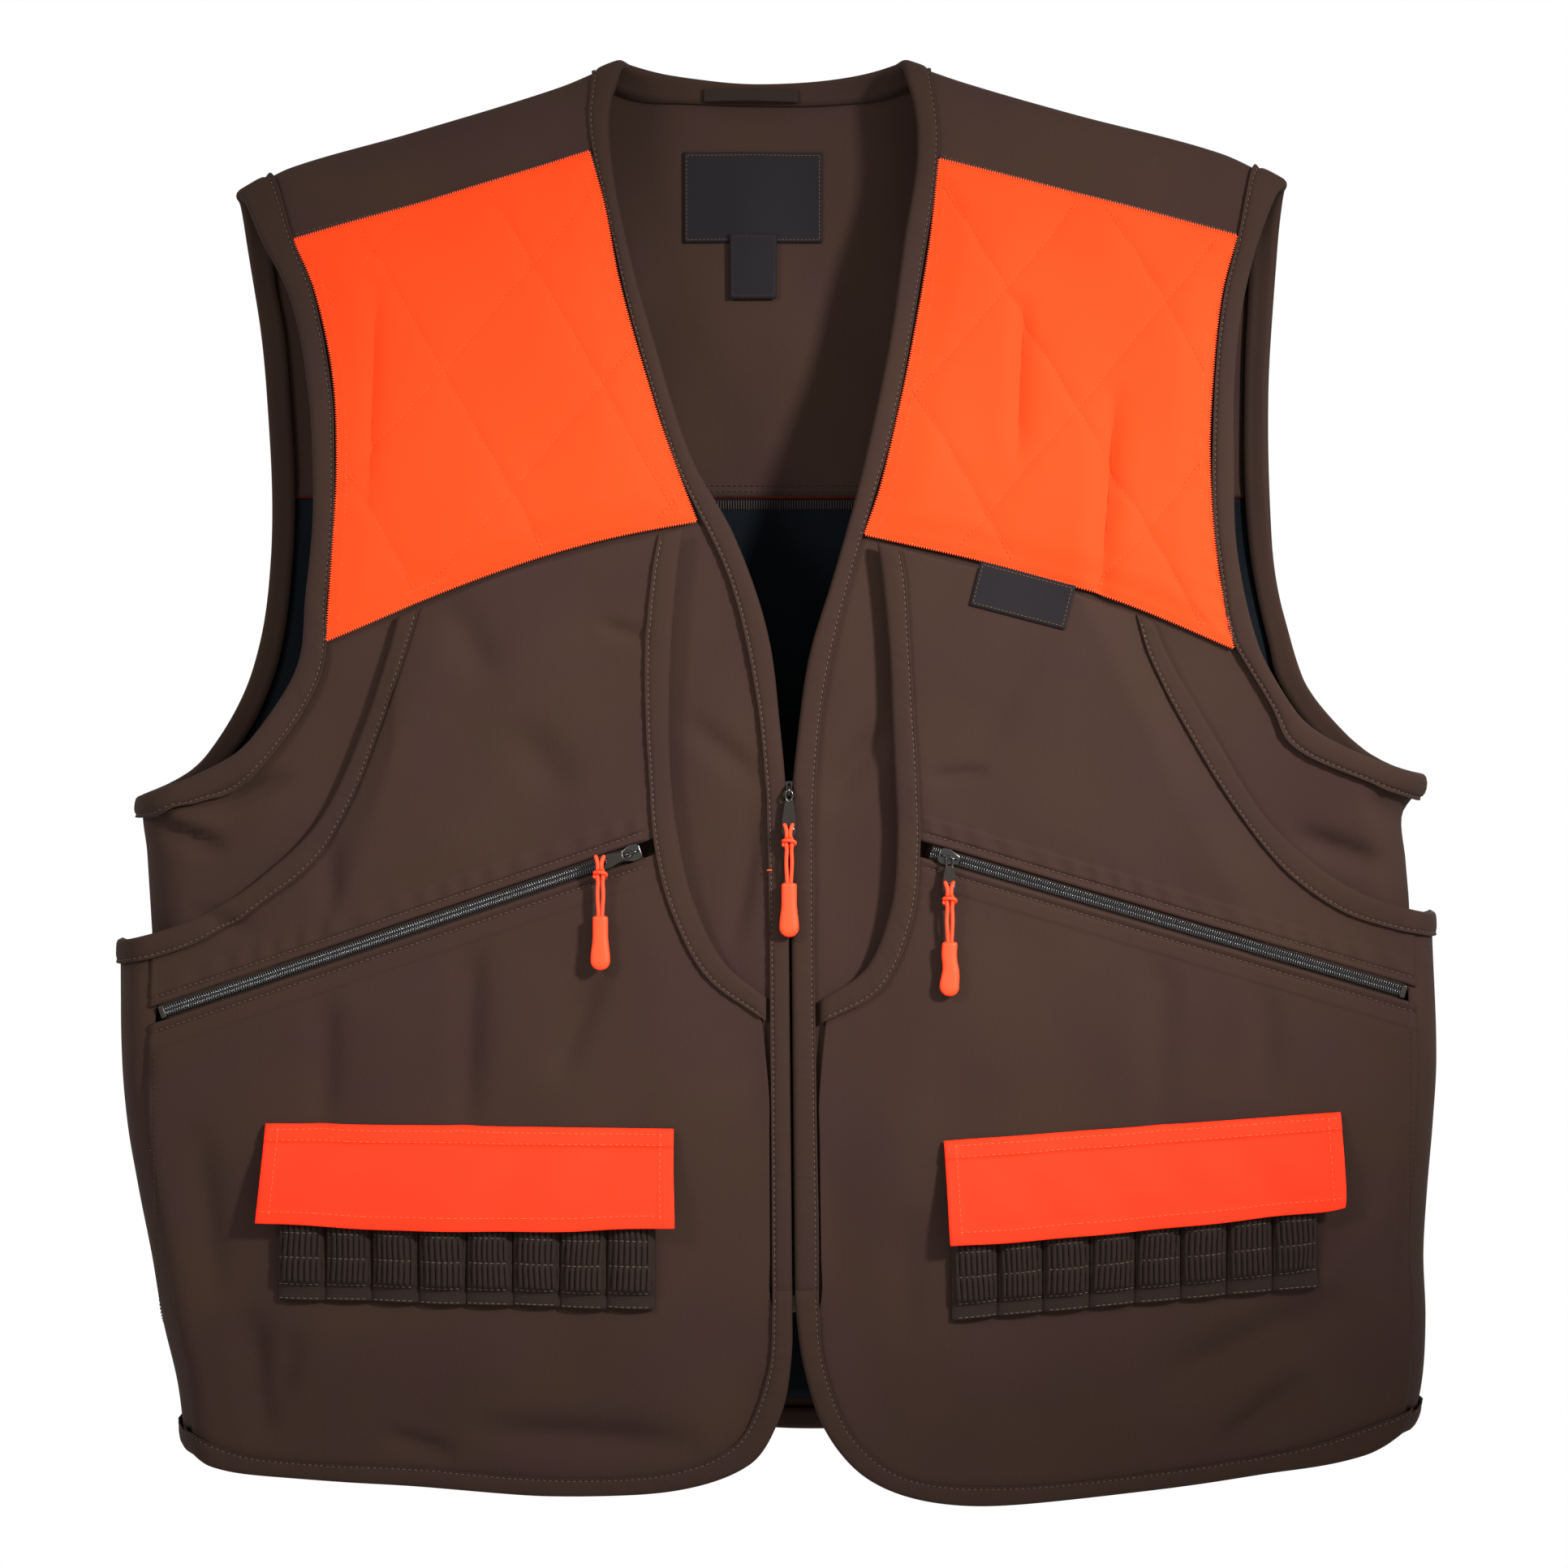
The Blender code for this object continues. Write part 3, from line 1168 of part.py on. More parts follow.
def make_labels():
    """The neck label, the size tab under it, the chest label and the hang loop."""

    def flat_label(name, low, high, lift, material_name, lean=0.0):
        def point(u, w):
            x = low[0] + (high[0] - low[0]) * u
            z = low[1] + (high[1] - low[1]) * w
            return BODY.lifted(BODY.back(x, z), lift + lean * (1 - w))

        cloth(name, point, (4, 3), 0.0006, material_name)

    flat_label("neck_label", (-0.0365, -0.0785), (0.0390, -0.0300), -0.0014, "label")
    flat_label("size_tab", (-0.0115, -0.1090), (0.0140, -0.0740), -0.0026, "label", lean=-0.0008)

    def chest_point(u, w):
        slant = math.radians(-14.5)
        across = (u - 0.5) * 0.052
        up = (w - 0.5) * 0.024
        x = 0.1440 + across * math.cos(slant) - up * math.sin(slant)
        z = -0.2735 + across * math.sin(slant) + up * math.cos(slant)
        return BAG.lifted(BAG.front(x, z), 0.0013)

    cloth("chest_label", chest_point, (4, 2), 0.0006, "label")

    # The hang loop is a tape tacked at both ends over the neck binding's seam, bowed forward.
    def loop_point(u, w):
        x = HANG_LOOP_SPAN * (u - 0.5)
        bow = -0.0036 - 0.0040 * math.sin(math.pi * u) ** 0.7
        return BODY.lifted(BODY.back(x, -0.0035 + 0.0070 * w), bow)

    cloth("hang_loop", loop_point, (12, 1), 0.0010, "tape")


def main():
    for obj in list(bpy.data.objects):
        bpy.data.objects.remove(obj)
    bpy.context.scene.collection.children.link(parts)
    bpy.context.scene.collection.children.link(cutters)
    cutters.hide_render = True
    for side_name, side in SIDES.items():
        make_body(side_name, side)
        make_pockets(side_name, side)
        make_pocket_zip(side_name, side)
        make_shell_holder(side_name, side)
    make_back()
    make_game_bag()
    make_centre_zip()
    make_labels()


main()
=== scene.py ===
"""The looks of a sleeveless field vest: canvas, quilted orange patches, zips and shell loops.

Metres, in the CAD model's frame: +X is the wearer's left, -Y the front, +Z up. Each cloth piece
lies on one of two body forms, BODY and BAG, with the CAD model's folds and depths. Both carry the
same soft folds, so the layers keep their order.
"""

import math

import bmesh
import bpy
import numpy as np
from mathutils import Matrix, Vector


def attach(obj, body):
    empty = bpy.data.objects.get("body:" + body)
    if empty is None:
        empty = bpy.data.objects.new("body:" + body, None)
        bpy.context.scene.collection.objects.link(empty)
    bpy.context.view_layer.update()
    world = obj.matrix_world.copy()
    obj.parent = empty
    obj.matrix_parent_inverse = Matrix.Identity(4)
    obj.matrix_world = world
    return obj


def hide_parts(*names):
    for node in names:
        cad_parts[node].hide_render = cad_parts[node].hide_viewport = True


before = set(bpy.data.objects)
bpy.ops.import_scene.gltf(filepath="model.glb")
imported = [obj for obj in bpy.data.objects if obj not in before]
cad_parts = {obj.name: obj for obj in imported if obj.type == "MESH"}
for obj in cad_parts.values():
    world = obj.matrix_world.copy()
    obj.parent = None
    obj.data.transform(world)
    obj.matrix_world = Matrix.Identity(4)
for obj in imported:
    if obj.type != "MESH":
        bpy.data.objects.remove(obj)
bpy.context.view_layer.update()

# The body's folds and depths, as in the CAD model.
SHOULDER_Y = -0.020
CENTRE_X = 0.021
SHOULDER_ROUND = 0.030
BODY_SIDE_ROUND = 0.026
BAG_SIDE_ROUND = 0.020
FLAT_WIDTH = 0.290
SIDE_SLOPE = 0.020
CHEST_Z = -0.330
FRONT_DEPTH = (0.016, 0.042)
BACK_DEPTH = (0.020, 0.042)
DEPTH_GROWTH = 0.020
LAYER = 0.0016
POCKET_LAYER = 0.0036
POCKET_STAND = 0.0070
BIB_SWELL = (0.008, 0.072)
FRONT_SWELL = (0.014, 0.074)
HEM_SWELL = (-0.738, -0.650)
CUT = 0.45  # how far inside a binding a cloth's own edge lies, from its fold to its seam
BAG_BULGE = 0.026

# Thicknesses, lifts and sizes of the parts.
CLOTH = 0.0009
POCKET_CLOTH = 0.0007
BINDING_CLOTH = 0.0007
LOOP_COUNT = 8
LOOP_RISE = 0.0080
FLAP_RISE = 0.0112
TAPE_WIDTH = 0.026
SLOT_WIDTH = 0.0084
TAPE_DEPTH = 0.0042
SLIDER = (0.0115, 0.0090, 0.0016)  # length, width, thickness
POCKET_SLIDER_LIFT = 0.0020
FRONT_SLIDER_LIFT = -0.0046
FRONT_SLIDER_NECK = 0.0088
CROWN_RADIUS = 0.0030
TAB_WIDTH = 0.0080
CORD_EYE = 0.0032
# Lifts of a binding's back and front leg.
BODY_BINDING = (-0.0020, 2 * LAYER + 0.0001)
ARMHOLE_BINDING = (-0.0034, 0.0042)
BAG_BINDING = (-0.0024, 0.0023)
WAIST_SEAM_Z = -0.216
SEAM_GAP = 0.0006
BACK_HEM_Z = -0.722
FRONT_PANEL_FOOT = -0.722
BAG_TOP_Z = -0.438
BAG_NARROWS = (0.16, 0.33)  # distances from the centre over which the game bag thins
BAG_CLOSES = (BACK_HEM_Z, -0.60)  # heights over which it fills out from its hem
BAG_OPENS = (0.36, 0.58)  # depths below 0 over which it fills out from its mouth
CENTRE_ZIP_TOP = (0.0208, -0.377)
CENTRE_ZIP_BOTTOM = (0.0232, -0.640)
HANG_LOOP_SPAN = 0.052
SIDE = 1.0  # stands for an x right on the side fold


def mm(*values):
    """(x, z) points in metres, from x, z, x, z and so on in millimetres."""
    return [(x / 1000, z / 1000) for x, z in zip(values[::2], values[1::2])]


SHOULDER_LINE = mm(
    -360, -90, -274, -57, -247, -43, -181, -24, -103, 0, -68, 14.5, 8, 40, 81, 14.5, 114, 3,
    173, -14, 252, -35, 288, -52, 370, -85,
)

# Outlines of each side of the vest, seen from the front. An x of 1000 is right on the side fold.
RIGHT = {
    "sign": -1,
    "body_side": mm(
        -290, -80, -290, -169, -295, -257, -310, -327, -326, -381, -324, -410, -321, -458,
        -315, -563, -300, -650, -286, -729,
    ),
    "bag_side": mm(
        -338, -440, -338, -470, -337, -519, -334, -554, -328, -589, -321, -624, -315, -659,
        -307, -694, -303, -729,
    ),
    "front_free": mm(
        -68, 14.5, -75.5, -12, -74.5, -40, -67, -80, -54, -129, -32, -198, -8, -243, 9, -293,
        15.8, -345, 19.1, -385, 20, -430, 20.8, -520, 22, -646,
    ),
    "front_seam": mm(
        -84, 6.2, -86, -21, -77, -64, -62, -129, -38, -206, -10, -267, 3, -325, 9, -380, 10, -430,
        11.2, -520, 12, -646,
    ),
    "hem_free": mm(
        22, -647, 21.5, -676, 16, -705, 0, -731, -40, -745, -105, -748, -178, -743, -255, -738,
        -284, -733, -300, -723,
    ),
    "hem_seam": mm(
        12, -647, 9.5, -684, -6, -719, -40, -735, -96, -739, -182, -733, -262, -728, -300, -714,
    ),
    "arm_front_free": mm(
        -276, -50, -262, -80, -245, -115, -235, -165, -232, -210, -235, -270, -241, -314,
        -264, -349, -295, -369, -1000, -380,
    ),
    "arm_front_seam": mm(
        -257, -40, -245, -80, -233, -111, -223, -165, -221, -206, -224, -275, -228, -318,
        -253, -358, -290, -382, -1000, -390,
    ),
    "arm_back_free": mm(
        -276, -50, -273, -80, -266, -130, -262, -190, -262, -247, -269, -298, -285, -338,
        -306, -366, -1000, -380,
    ),
    "arm_back_seam": mm(
        -257, -40, -259, -90, -253, -130, -250, -180, -250, -247, -258, -305, -276, -346,
        -302, -374, -1000, -390,
    ),
    "patch": {
        "top": mm(-244, -82, -164, -59, -85.8, -35),
        "bottom": mm(-224, -297, -144, -264, -84, -245, -28.5, -234),
        "outer": mm(
            -244, -82, -231.5, -111, -222.2, -155, -219.4, -206, -221.2, -250, -224, -297,
        ),
        "inner": mm(-85.8, -35, -78, -64, -70, -105, -51, -172, -39, -206, -28.5, -234),
    },
    "yoke_front": mm(-246, -88, -164, -67, -85.5, -43),
    "yoke_back": mm(-255.5, -85, -170, -66, -84, -40),
    "panel_top": mm(-249, -94, -164, -68, -82, -46),
    "bib_free": mm(
        -186, -284.5, -192, -306, -204, -342, -225, -388, -247, -413, -278, -436, -305, -449,
        -1000, -456,
    ),
    "bib_seam": mm(
        -174.5, -279.5, -181, -302, -193, -339, -214, -390, -238, -422, -273, -447, -302, -461,
        -1000, -468,
    ),
    "mouth_free": mm(
        -35.5, -238, -38.5, -258, -42, -302, -43, -336, -42, -370, -38, -402, -30, -435, -14, -467,
        8.5, -486,
    ),
    "mouth_seam": mm(
        -48, -241, -51.5, -262, -55, -302, -55, -336, -53, -370, -50, -407, -41, -442, -23, -475,
        8.5, -498,
    ),
    "side_seam_x": -0.317,
    "zip_inner": (-0.0565, -0.4075),
    "zip_outer": (-0.315, -0.495),
    "slider_at": 0.0065,  # distance from the zip's inner end to the slider
    "flap": mm(-255, -552, -40, -554.5, -41, -606, -259, -603),
    "flap_bow": 0.003,
    "loops": mm(-248, -644, -50, -649),
    "loops_height": 0.056,
    "side_bottom_z": -0.715,
}
LEFT = {
    "sign": 1,
    "body_side": mm(
        296, -80, 297, -169, 308, -257, 333, -327, 359, -369, 350, -390, 352, -414, 354, -445,
        350, -563, 343, -650, 331, -729,
    ),
    "bag_side": mm(
        366, -425, 366, -450, 368, -519, 366, -554, 363, -589, 361, -624, 362, -659, 360, -694,
        352, -729,
    ),
    "front_free": mm(
        81, 14.5, 88.5, -12, 89.5, -40, 83, -80, 74, -141, 59, -211, 44, -265, 32, -305, 25.5, -350,
        22.4, -385, 22.4, -430, 23.2, -520, 24.4, -646,
    ),
    "front_seam": mm(
        96, 8.5, 101, -30, 91, -103, 75, -189, 60, -241, 47, -290, 38.5, -335, 34.5, -383, 34, -430,
        35, -520, 36.5, -646,
    ),
    "hem_free": mm(
        24.4, -647, 29, -680, 40, -713, 60, -737, 90, -750, 130, -753, 205, -746, 270, -737,
        325, -727, 351, -712,
    ),
    "hem_seam": mm(
        36.5, -647, 40, -680, 55, -717, 85, -739, 140, -743, 205, -737, 291, -723, 351, -703,
    ),
    "arm_front_free": mm(
        288, -45, 274, -75, 264, -111, 258, -155, 257, -205, 259, -255, 270, -301, 292, -338,
        325, -358, 1000, -368,
    ),
    "arm_front_seam": mm(
        270, -35, 261, -79, 253, -111, 248, -150, 246, -197, 249, -258, 259, -303, 283, -348,
        325, -371, 1000, -379,
    ),
    "arm_back_free": mm(
        288, -45, 285, -80, 282, -130, 281, -168, 283, -225, 292, -282, 310, -328, 338, -357,
        1000, -368,
    ),
    "arm_back_seam": mm(
        270, -35, 271, -85, 269, -135, 269, -180, 272, -238, 282, -292, 303, -339, 334, -366,
        1000, -379,
    ),
    "patch": {
        "top": mm(260, -80, 180, -59, 101, -39),
        "bottom": mm(256.2, -301, 190, -274, 119, -254, 61, -241),
        "outer": mm(
            260, -80, 251.4, -111, 246.4, -150, 244.2, -200, 247.8, -258, 256.2, -301,
        ),
        "inner": mm(101, -39, 96, -85, 87, -137, 80, -172, 70, -215, 61, -241),
    },
    "yoke_front": mm(260.5, -87, 180, -67, 103, -47),
    "yoke_back": mm(268, -80, 180, -62, 98.5, -40),
    "panel_top": mm(262, -90, 180, -68, 98, -49),
    "bib_free": mm(
        213.5, -287, 222, -307, 239, -336, 267, -383, 291, -409, 316, -427, 340, -437, 1000, -441,
    ),
    "bib_seam": mm(
        204.5, -283, 211, -306, 228, -340, 257, -387, 283, -419, 312, -440, 338, -449, 1000, -453,
    ),
    "mouth_free": mm(
        68, -245.5, 70.5, -264, 74, -302, 75.5, -336, 77, -370, 78, -402, 75, -437, 62, -470,
        37.5, -487.5,
    ),
    "mouth_seam": mm(
        80, -248, 83, -267, 85, -302, 87, -336, 89, -370, 90, -405, 86, -445, 70, -481,
        37.5, -499.5,
    ),
    "side_seam_x": 0.352,
    "zip_inner": (0.0925, -0.408),
    "zip_outer": (0.35, -0.484),
    "slider_at": 0.013,
    "flap": mm(311, -546, 102, -561, 105, -615, 313, -596),
    "flap_bow": 0.0015,
    "loops": mm(299, -637, 106, -655),
    "loops_height": 0.056,
    "side_bottom_z": -0.704,
}
SIDES = {"right": RIGHT, "left": LEFT}

NECK_FREE = mm(-68, 14.5, -42, 10.5, -10, 7.5, 12, 7, 36, 8, 61, 11, 81, 14.5)
NECK_SEAM = mm(-84, 6.2, -60, -2, -33, -4, 10, -5, 42, -4.5, 72, -1, 96, 8.5)
UPPER_BACK_TOP = mm(
    -170, -56, -105, -30, -86, 1, -70, 6, -33, -1, 10, -2, 42, -1, 78, 6, 96, 1, 116, -30, 180, -52,
)
# Soft folds in millimetres: x, z at each end, half width, and height, below 0 for a valley.
FRONT_FOLDS = [
    (-316, -394, -281, -407, 5, -2.2), (-316, -386, -279, -398, 5, 1.2),
    (-283, -383, -247, -370, 6, -1.6), (-221, -405, -222, -465, 7, -1.2),
    (-223, -474, -225, -551, 8, -1.4), (-146, -452, -150, -551, 8, -1.6),
    (-81, -474, -101, -525, 8, -1.4), (-32, -340, 3, -370, 6, -1.2),
    (71, -344.5, 41, -381, 7, -1.6), (6, -387.5, -9, -456, 6, -1.4),
    (291, -400, 336, -415.5, 6, -2.2), (329, -381, 345, -390, 5, -1.6),
    (218, -452, 215.5, -551, 10, -1.2), (308, -645.5, 218, -688.5, 12, -2.6),
    (291, -688.5, 248, -723, 8, -1.8), (326, -600, 290, -650, 10, 1.4),
    (-139, -714, -32, -721, 9, -1.8), (-191, -716.5, -157, -727, 6, -1.2),
    (-262, -654, -257.5, -714, 9, -2.2), (-240, -663, -247, -697, 7, -1.2),
    (-199.5, -108, -201.5, -224, 6, -1.2), (145.5, -117, 142.5, -198, 6, -1.2),
    (194, -168, 185.5, -276, 7, -1.5), (-156.5, -280, -139, -314.5, 10, -1.2),
    (-315.5, -486, -321, -534, 4, -1.8), (84, -602.5, 82, -663, 10, -0.8),
    (273.5, -465, 271.5, -534, 9, -1.1), (-122, -344.5, -96, -379, 12, -1.1),
    (-79, -288.6, -53, -297, 5, -0.7), (97, -370, 123, -366, 4, -0.8),
    (-297, -440, -262, -452, 6, -0.9), (150, -300, 120, -352, 12, -0.9),
    (-290, -560, -282, -640, 8, -1.3), (345, -560, 338, -640, 6, -1.4),
]
BACK_FOLDS = [
    (-150, -120, -120, -260, 12, -1.6), (180, -130, 150, -290, 12, -1.6),
    (20, -200, 30, -380, 16, -1.2), (-200, -470, -190, -650, 14, -2.4),
    (230, -480, 240, -640, 14, -2.4), (-60, -500, -80, -680, 16, -2.2),
    (110, -490, 130, -670, 16, -2.2), (-270, -560, -230, -600, 8, -1.8),
    (300, -560, 260, -610, 8, -1.8), (20, -600, 20, -700, 14, -1.8),
]
# Low waves over the whole cloth: wavelength across and up, start, and height.
RIPPLES = [
    (0.083, 0.210, 1.0, 0.00050), (0.057, -0.160, 2.3, 0.00034), (0.300, 0.094, 0.7, 0.00036),
]
ZIP_FLAT = (0.012, 0.036)  # distances from a pocket zip over which the cloth is freed from it
ZIP_PAST = (0.53, 0.62)  # shares of its length from its middle over which a zip's hold ends
CENTRE_FLAT = (0.009, 0.024)  # distances from the front zip, over which the cloth is freed from it
CENTRE_FLAT_X = 0.022
CENTRE_FLAT_TOP = (-0.36, -0.33)
ZIP_PULL = (0.012, 0.042)  # distances over which the cloth follows a straight pocket zip
FOLD_DEPTH = {1: 3.0, -1: 1.8}  # how much deeper the folds of each face are than in their list
RIPPLE_DEPTH = {1: 1.0, -1: 1.6}
rng = np.random.default_rng(7)


def smooth(keys, values):
    """A smooth function through the values at rising keys, level past its ends."""
    keys, values = np.array(keys, float), np.array(values, float)
    last = len(keys) - 1
    low, high = np.maximum(np.arange(last + 1) - 1, 0), np.minimum(np.arange(last + 1) + 1, last)
    slopes = (values[high] - values[low]) / (keys[high] - keys[low])

    def value(key):
        key = np.clip(key, keys[0], keys[-1])
        i = np.clip(np.searchsorted(keys, key, side="right") - 1, 0, last - 1)
        step = keys[i + 1] - keys[i]
        t = (key - keys[i]) / step
        bend = slopes[i] * step * (1 - t) ** 2 * t - slopes[i + 1] * step * (1 - t) * t**2
        return values[i] + (values[i + 1] - values[i]) * t * t * (3 - 2 * t) + bend

    return value


def ramp(value, low, high):
    """A smooth step from 0 to 1 between two values."""
    t = np.clip((value - low) / (high - low), 0, 1)
    return t * t * (3 - 2 * t)


shoulder_z = smooth(*zip(*SHOULDER_LINE))


def side_reach(outline):
    """How far a side outline reaches from the centre, by drop below the shoulder."""
    drops = [float(shoulder_z(x)) - z for x, z in outline]
    return smooth(drops, [abs(x - CENTRE_X) for x, z in outline])


class Form:
    """A closed surface round the body, with a place (across, down) for each point of it."""

    crest = SHOULDER_ROUND * math.pi / 2

    def __init__(self, outline_name, side_round, depth):
        self.reach = {s["sign"]: side_reach(s[outline_name]) for s in (RIGHT, LEFT)}
        self.side_round = side_round
        self.apex = FLAT_WIDTH + side_round * math.pi / 2
        self.depth = depth

    def half(self, sign, drop):
        """The half width at a drop below the shoulder."""
        return np.where(sign > 0, self.reach[1](drop), self.reach[-1](drop))

    def point(self, across, down):
        """The point in space of a place; down is below 0 on the back."""
        across, down = np.broadcast_arrays(np.asarray(across, float), np.asarray(down, float))
        face = np.where(down < 0, -1, 1)
        sign = np.where(across >= 0, 1, -1)
        across, down = np.abs(across), np.abs(down)
        over = across > self.apex
        face = np.where(over, -face, face)
        across = np.where(over, 2 * self.apex - across, across)
        arc = np.minimum(down, self.crest) / SHOULDER_ROUND
        drop = SHOULDER_ROUND * (1 - np.cos(arc)) + np.maximum(down - self.crest, 0)
        flat = self.half(sign, drop) - self.side_round
        turn = np.maximum(across - FLAT_WIDTH, 0) / self.side_round
        reach = flat * np.minimum(across / FLAT_WIDTH, 1) + self.side_round * np.sin(turn)
        x = CENTRE_X + sign * reach
        z = shoulder_z(x) - drop
        depth = self.depth(face, x, z) - np.where(face > 0, SIDE_SLOPE * reach, 0)
        depth = depth * np.cos(turn) * np.sin(arc)
        return np.stack([x, SHOULDER_Y - face * depth, z], -1)

    def normal(self, across, down):
        """The direction out of the vest."""
        step = 0.0008
        along = self.point(across + step, down) - self.point(across - step, down)
        below = self.point(across, down + step) - self.point(across, down - step)
        found = np.cross(below, along)
        return found / np.linalg.norm(found, axis=-1, keepdims=True)

    def lifted(self, place, lift=0.0):
        """Points at a distance above a place."""
        across, down = place
        lift = np.asarray(lift, float)[..., None]
        return self.point(across, down) + self.normal(across, down) * lift

    def front(self, x, z):
        """The place of a point seen from the front."""
        x, z = np.broadcast_arrays(np.asarray(x, float), np.asarray(z, float))
        sign = np.where(x >= CENTRE_X, 1, -1)
        drop = np.maximum(shoulder_z(np.clip(x, -0.34, 0.37)) - z, 0)
        if np.any(np.abs(x) >= SIDE):
            drop = self.side_drop(sign, z)
        flat = self.half(sign, drop) - self.side_round
        reach = np.abs(x - CENTRE_X)
        turned = np.arcsin(np.clip((reach - flat) / self.side_round, 0, 1))
        across = np.where(
            reach <= flat, FLAT_WIDTH * reach / flat, FLAT_WIDTH + self.side_round * turned
        )
        rounded = SHOULDER_ROUND * np.arccos(np.clip(1 - drop / SHOULDER_ROUND, -1, 1))
        down = np.where(drop < SHOULDER_ROUND, rounded, self.crest + drop - SHOULDER_ROUND)
        return sign * across, down

    def side_drop(self, sign, z):
        """The drop below the shoulder, at the side fold, of a height."""
        drop = -z
        for _ in range(12):
            drop = shoulder_z(CENTRE_X + sign * self.half(sign, drop)) - z
        return drop

    def back(self, x, z):
        across, down = self.front(x, z)
        return across, -down

    def round_side(self, x, z):
        """A place on the back, reached from the front round the side fold."""
        across, down = self.front(x, z)
        return np.copysign(2 * self.apex - np.abs(across), across), down

    def seam_front(self, x, z):
        """A place on the front, reached from the back round the side fold."""
        across, down = self.round_side(x, z)
        return across, -down


def strokes(x, z, folds):
    """The height of a set of folds at points seen from the front."""
    height = np.zeros(np.broadcast(x, z).shape)
    for fold in folds:
        x0, z0, x1, z1, width, tall = [value / 1000 for value in fold]
        length2 = (x1 - x0) ** 2 + (z1 - z0) ** 2
        along = ((x - x0) * (x1 - x0) + (z - z0) * (z1 - z0)) / length2
        t = np.clip(along, 0, 1)
        off2 = (x - x0 - t * (x1 - x0)) ** 2 + (z - z0 - t * (z1 - z0)) ** 2
        fade = ramp(along, -0.25, 0.35) * ramp(1 - along, -0.25, 0.35)
        height += tall * fade * np.exp(-off2 / width**2)
    return height


def zip_height(side, x):
    """The height of a side's pocket zip at a place, and the share of its length there."""
    (xi, zi), (xo, zo) = side["zip_inner"], side["zip_outer"]
    share = (x - xi) / (xo - xi)
    return zi + (zo - zi) * share, share


def relief(face, x, z):
    """The soft folds in the cloth, still beside the zips so that these can run straight."""
    waves = np.zeros(np.broadcast(x, z).shape)
    for wide, tall, start, height in RIPPLES:
        waves += height * np.sin(2 * math.pi * (x / wide + z / tall) + start)
    free = np.ones_like(waves)
    for side in (RIGHT, LEFT):
        line, share = zip_height(side, x)
        beside = ramp(np.abs(z - line), *ZIP_FLAT)
        past = ramp(np.abs(share - 0.5), *ZIP_PAST)
        free *= np.maximum(beside, past)
    beside = ramp(np.abs(x - CENTRE_FLAT_X), *CENTRE_FLAT)
    free *= np.maximum(beside, ramp(z, *CENTRE_FLAT_TOP))
    front = (FOLD_DEPTH[1] * strokes(x, z, FRONT_FOLDS) + RIPPLE_DEPTH[1] * waves) * free
    back = FOLD_DEPTH[-1] * strokes(x, z, BACK_FOLDS) + RIPPLE_DEPTH[-1] * waves
    return np.where(face > 0, front, back)


def plain_body_depth(face, x, z):
    """How far the front, 1, or the back, -1, stands from the middle."""
    shallow = np.where(face > 0, FRONT_DEPTH[0], BACK_DEPTH[0])
    deep = np.where(face > 0, FRONT_DEPTH[1], BACK_DEPTH[1])
    grown = DEPTH_GROWTH * np.maximum(CHEST_Z - z, 0)
    return shallow + (deep - shallow) * ramp(-z, 0, -CHEST_Z) + grown


def pocket_depth(face, x, z):
    """How far the pocket and game bag layer stands off the body."""
    from_centre = np.abs(x - CENTRE_X)
    middle = 1 - 0.75 * ramp(from_centre, *BAG_NARROWS)
    behind = BAG_BULGE * middle * ramp(z, *BAG_CLOSES) * ramp(-z, *BAG_OPENS)
    bib = np.where(
        x < CENTRE_X, RIGHT["bib_height"](from_centre), LEFT["bib_height"](from_centre)
    )
    clear = ramp(from_centre, *FRONT_SWELL) * ramp(z, *HEM_SWELL)
    before = POCKET_STAND * clear * ramp(bib - z, *BIB_SWELL)
    return POCKET_LAYER + np.where(face < 0, behind, before)


def straighten(face, x, z):
    """Brings the pocket layer to its straight zips."""
    extra = np.zeros(np.broadcast(x, z).shape)
    for side in (RIGHT, LEFT):
        line, share = zip_height(side, x)
        near = 1 - ramp(np.abs(z - line), *ZIP_PULL)
        extra += side["zip_depth"](share) * near
    return np.where(face > 0, extra, 0)


for outline in (RIGHT, LEFT):
    bib = [(abs(x - CENTRE_X), z) for x, z in outline["bib_free"] if abs(x) < SIDE]
    outline["bib_height"] = smooth([0.0] + [x for x, z in bib], [0.1] + [z for x, z in bib])

PLAIN_BODY = Form("body_side", BODY_SIDE_ROUND, plain_body_depth)
PLAIN_BAG = Form(
    "bag_side", BAG_SIDE_ROUND,
    lambda face, x, z: plain_body_depth(face, x, z) + pocket_depth(face, x, z),
)


def zip_line(side):
    """The ends of a pocket zip and the direction out of the cloth at its middle."""
    (xi, zi), (xo, zo) = side["zip_inner"], side["zip_outer"]
    inner = Vector(PLAIN_BAG.point(*PLAIN_BAG.front(xi, zi)))
    outer = Vector(PLAIN_BAG.point(*PLAIN_BAG.front(xo, zo)))
    outward = Vector(PLAIN_BAG.normal(*PLAIN_BAG.front((xi + xo) / 2, (zi + zo) / 2)))
    return inner, outer, outward


for outline in (RIGHT, LEFT):
    (xi, zi), (xo, zo) = outline["zip_inner"], outline["zip_outer"]
    shares = np.linspace(0, 1, 25)
    inner, outer, _ = zip_line(outline)
    surface = PLAIN_BAG.point(*PLAIN_BAG.front(xi + (xo - xi) * shares, zi + (zo - zi) * shares))
    gap = surface[:, 1] - (inner.y + (outer.y - inner.y) * shares)
    outline["zip_depth"] = smooth([-0.2, *shares, 1.1], [0, *gap, 0])

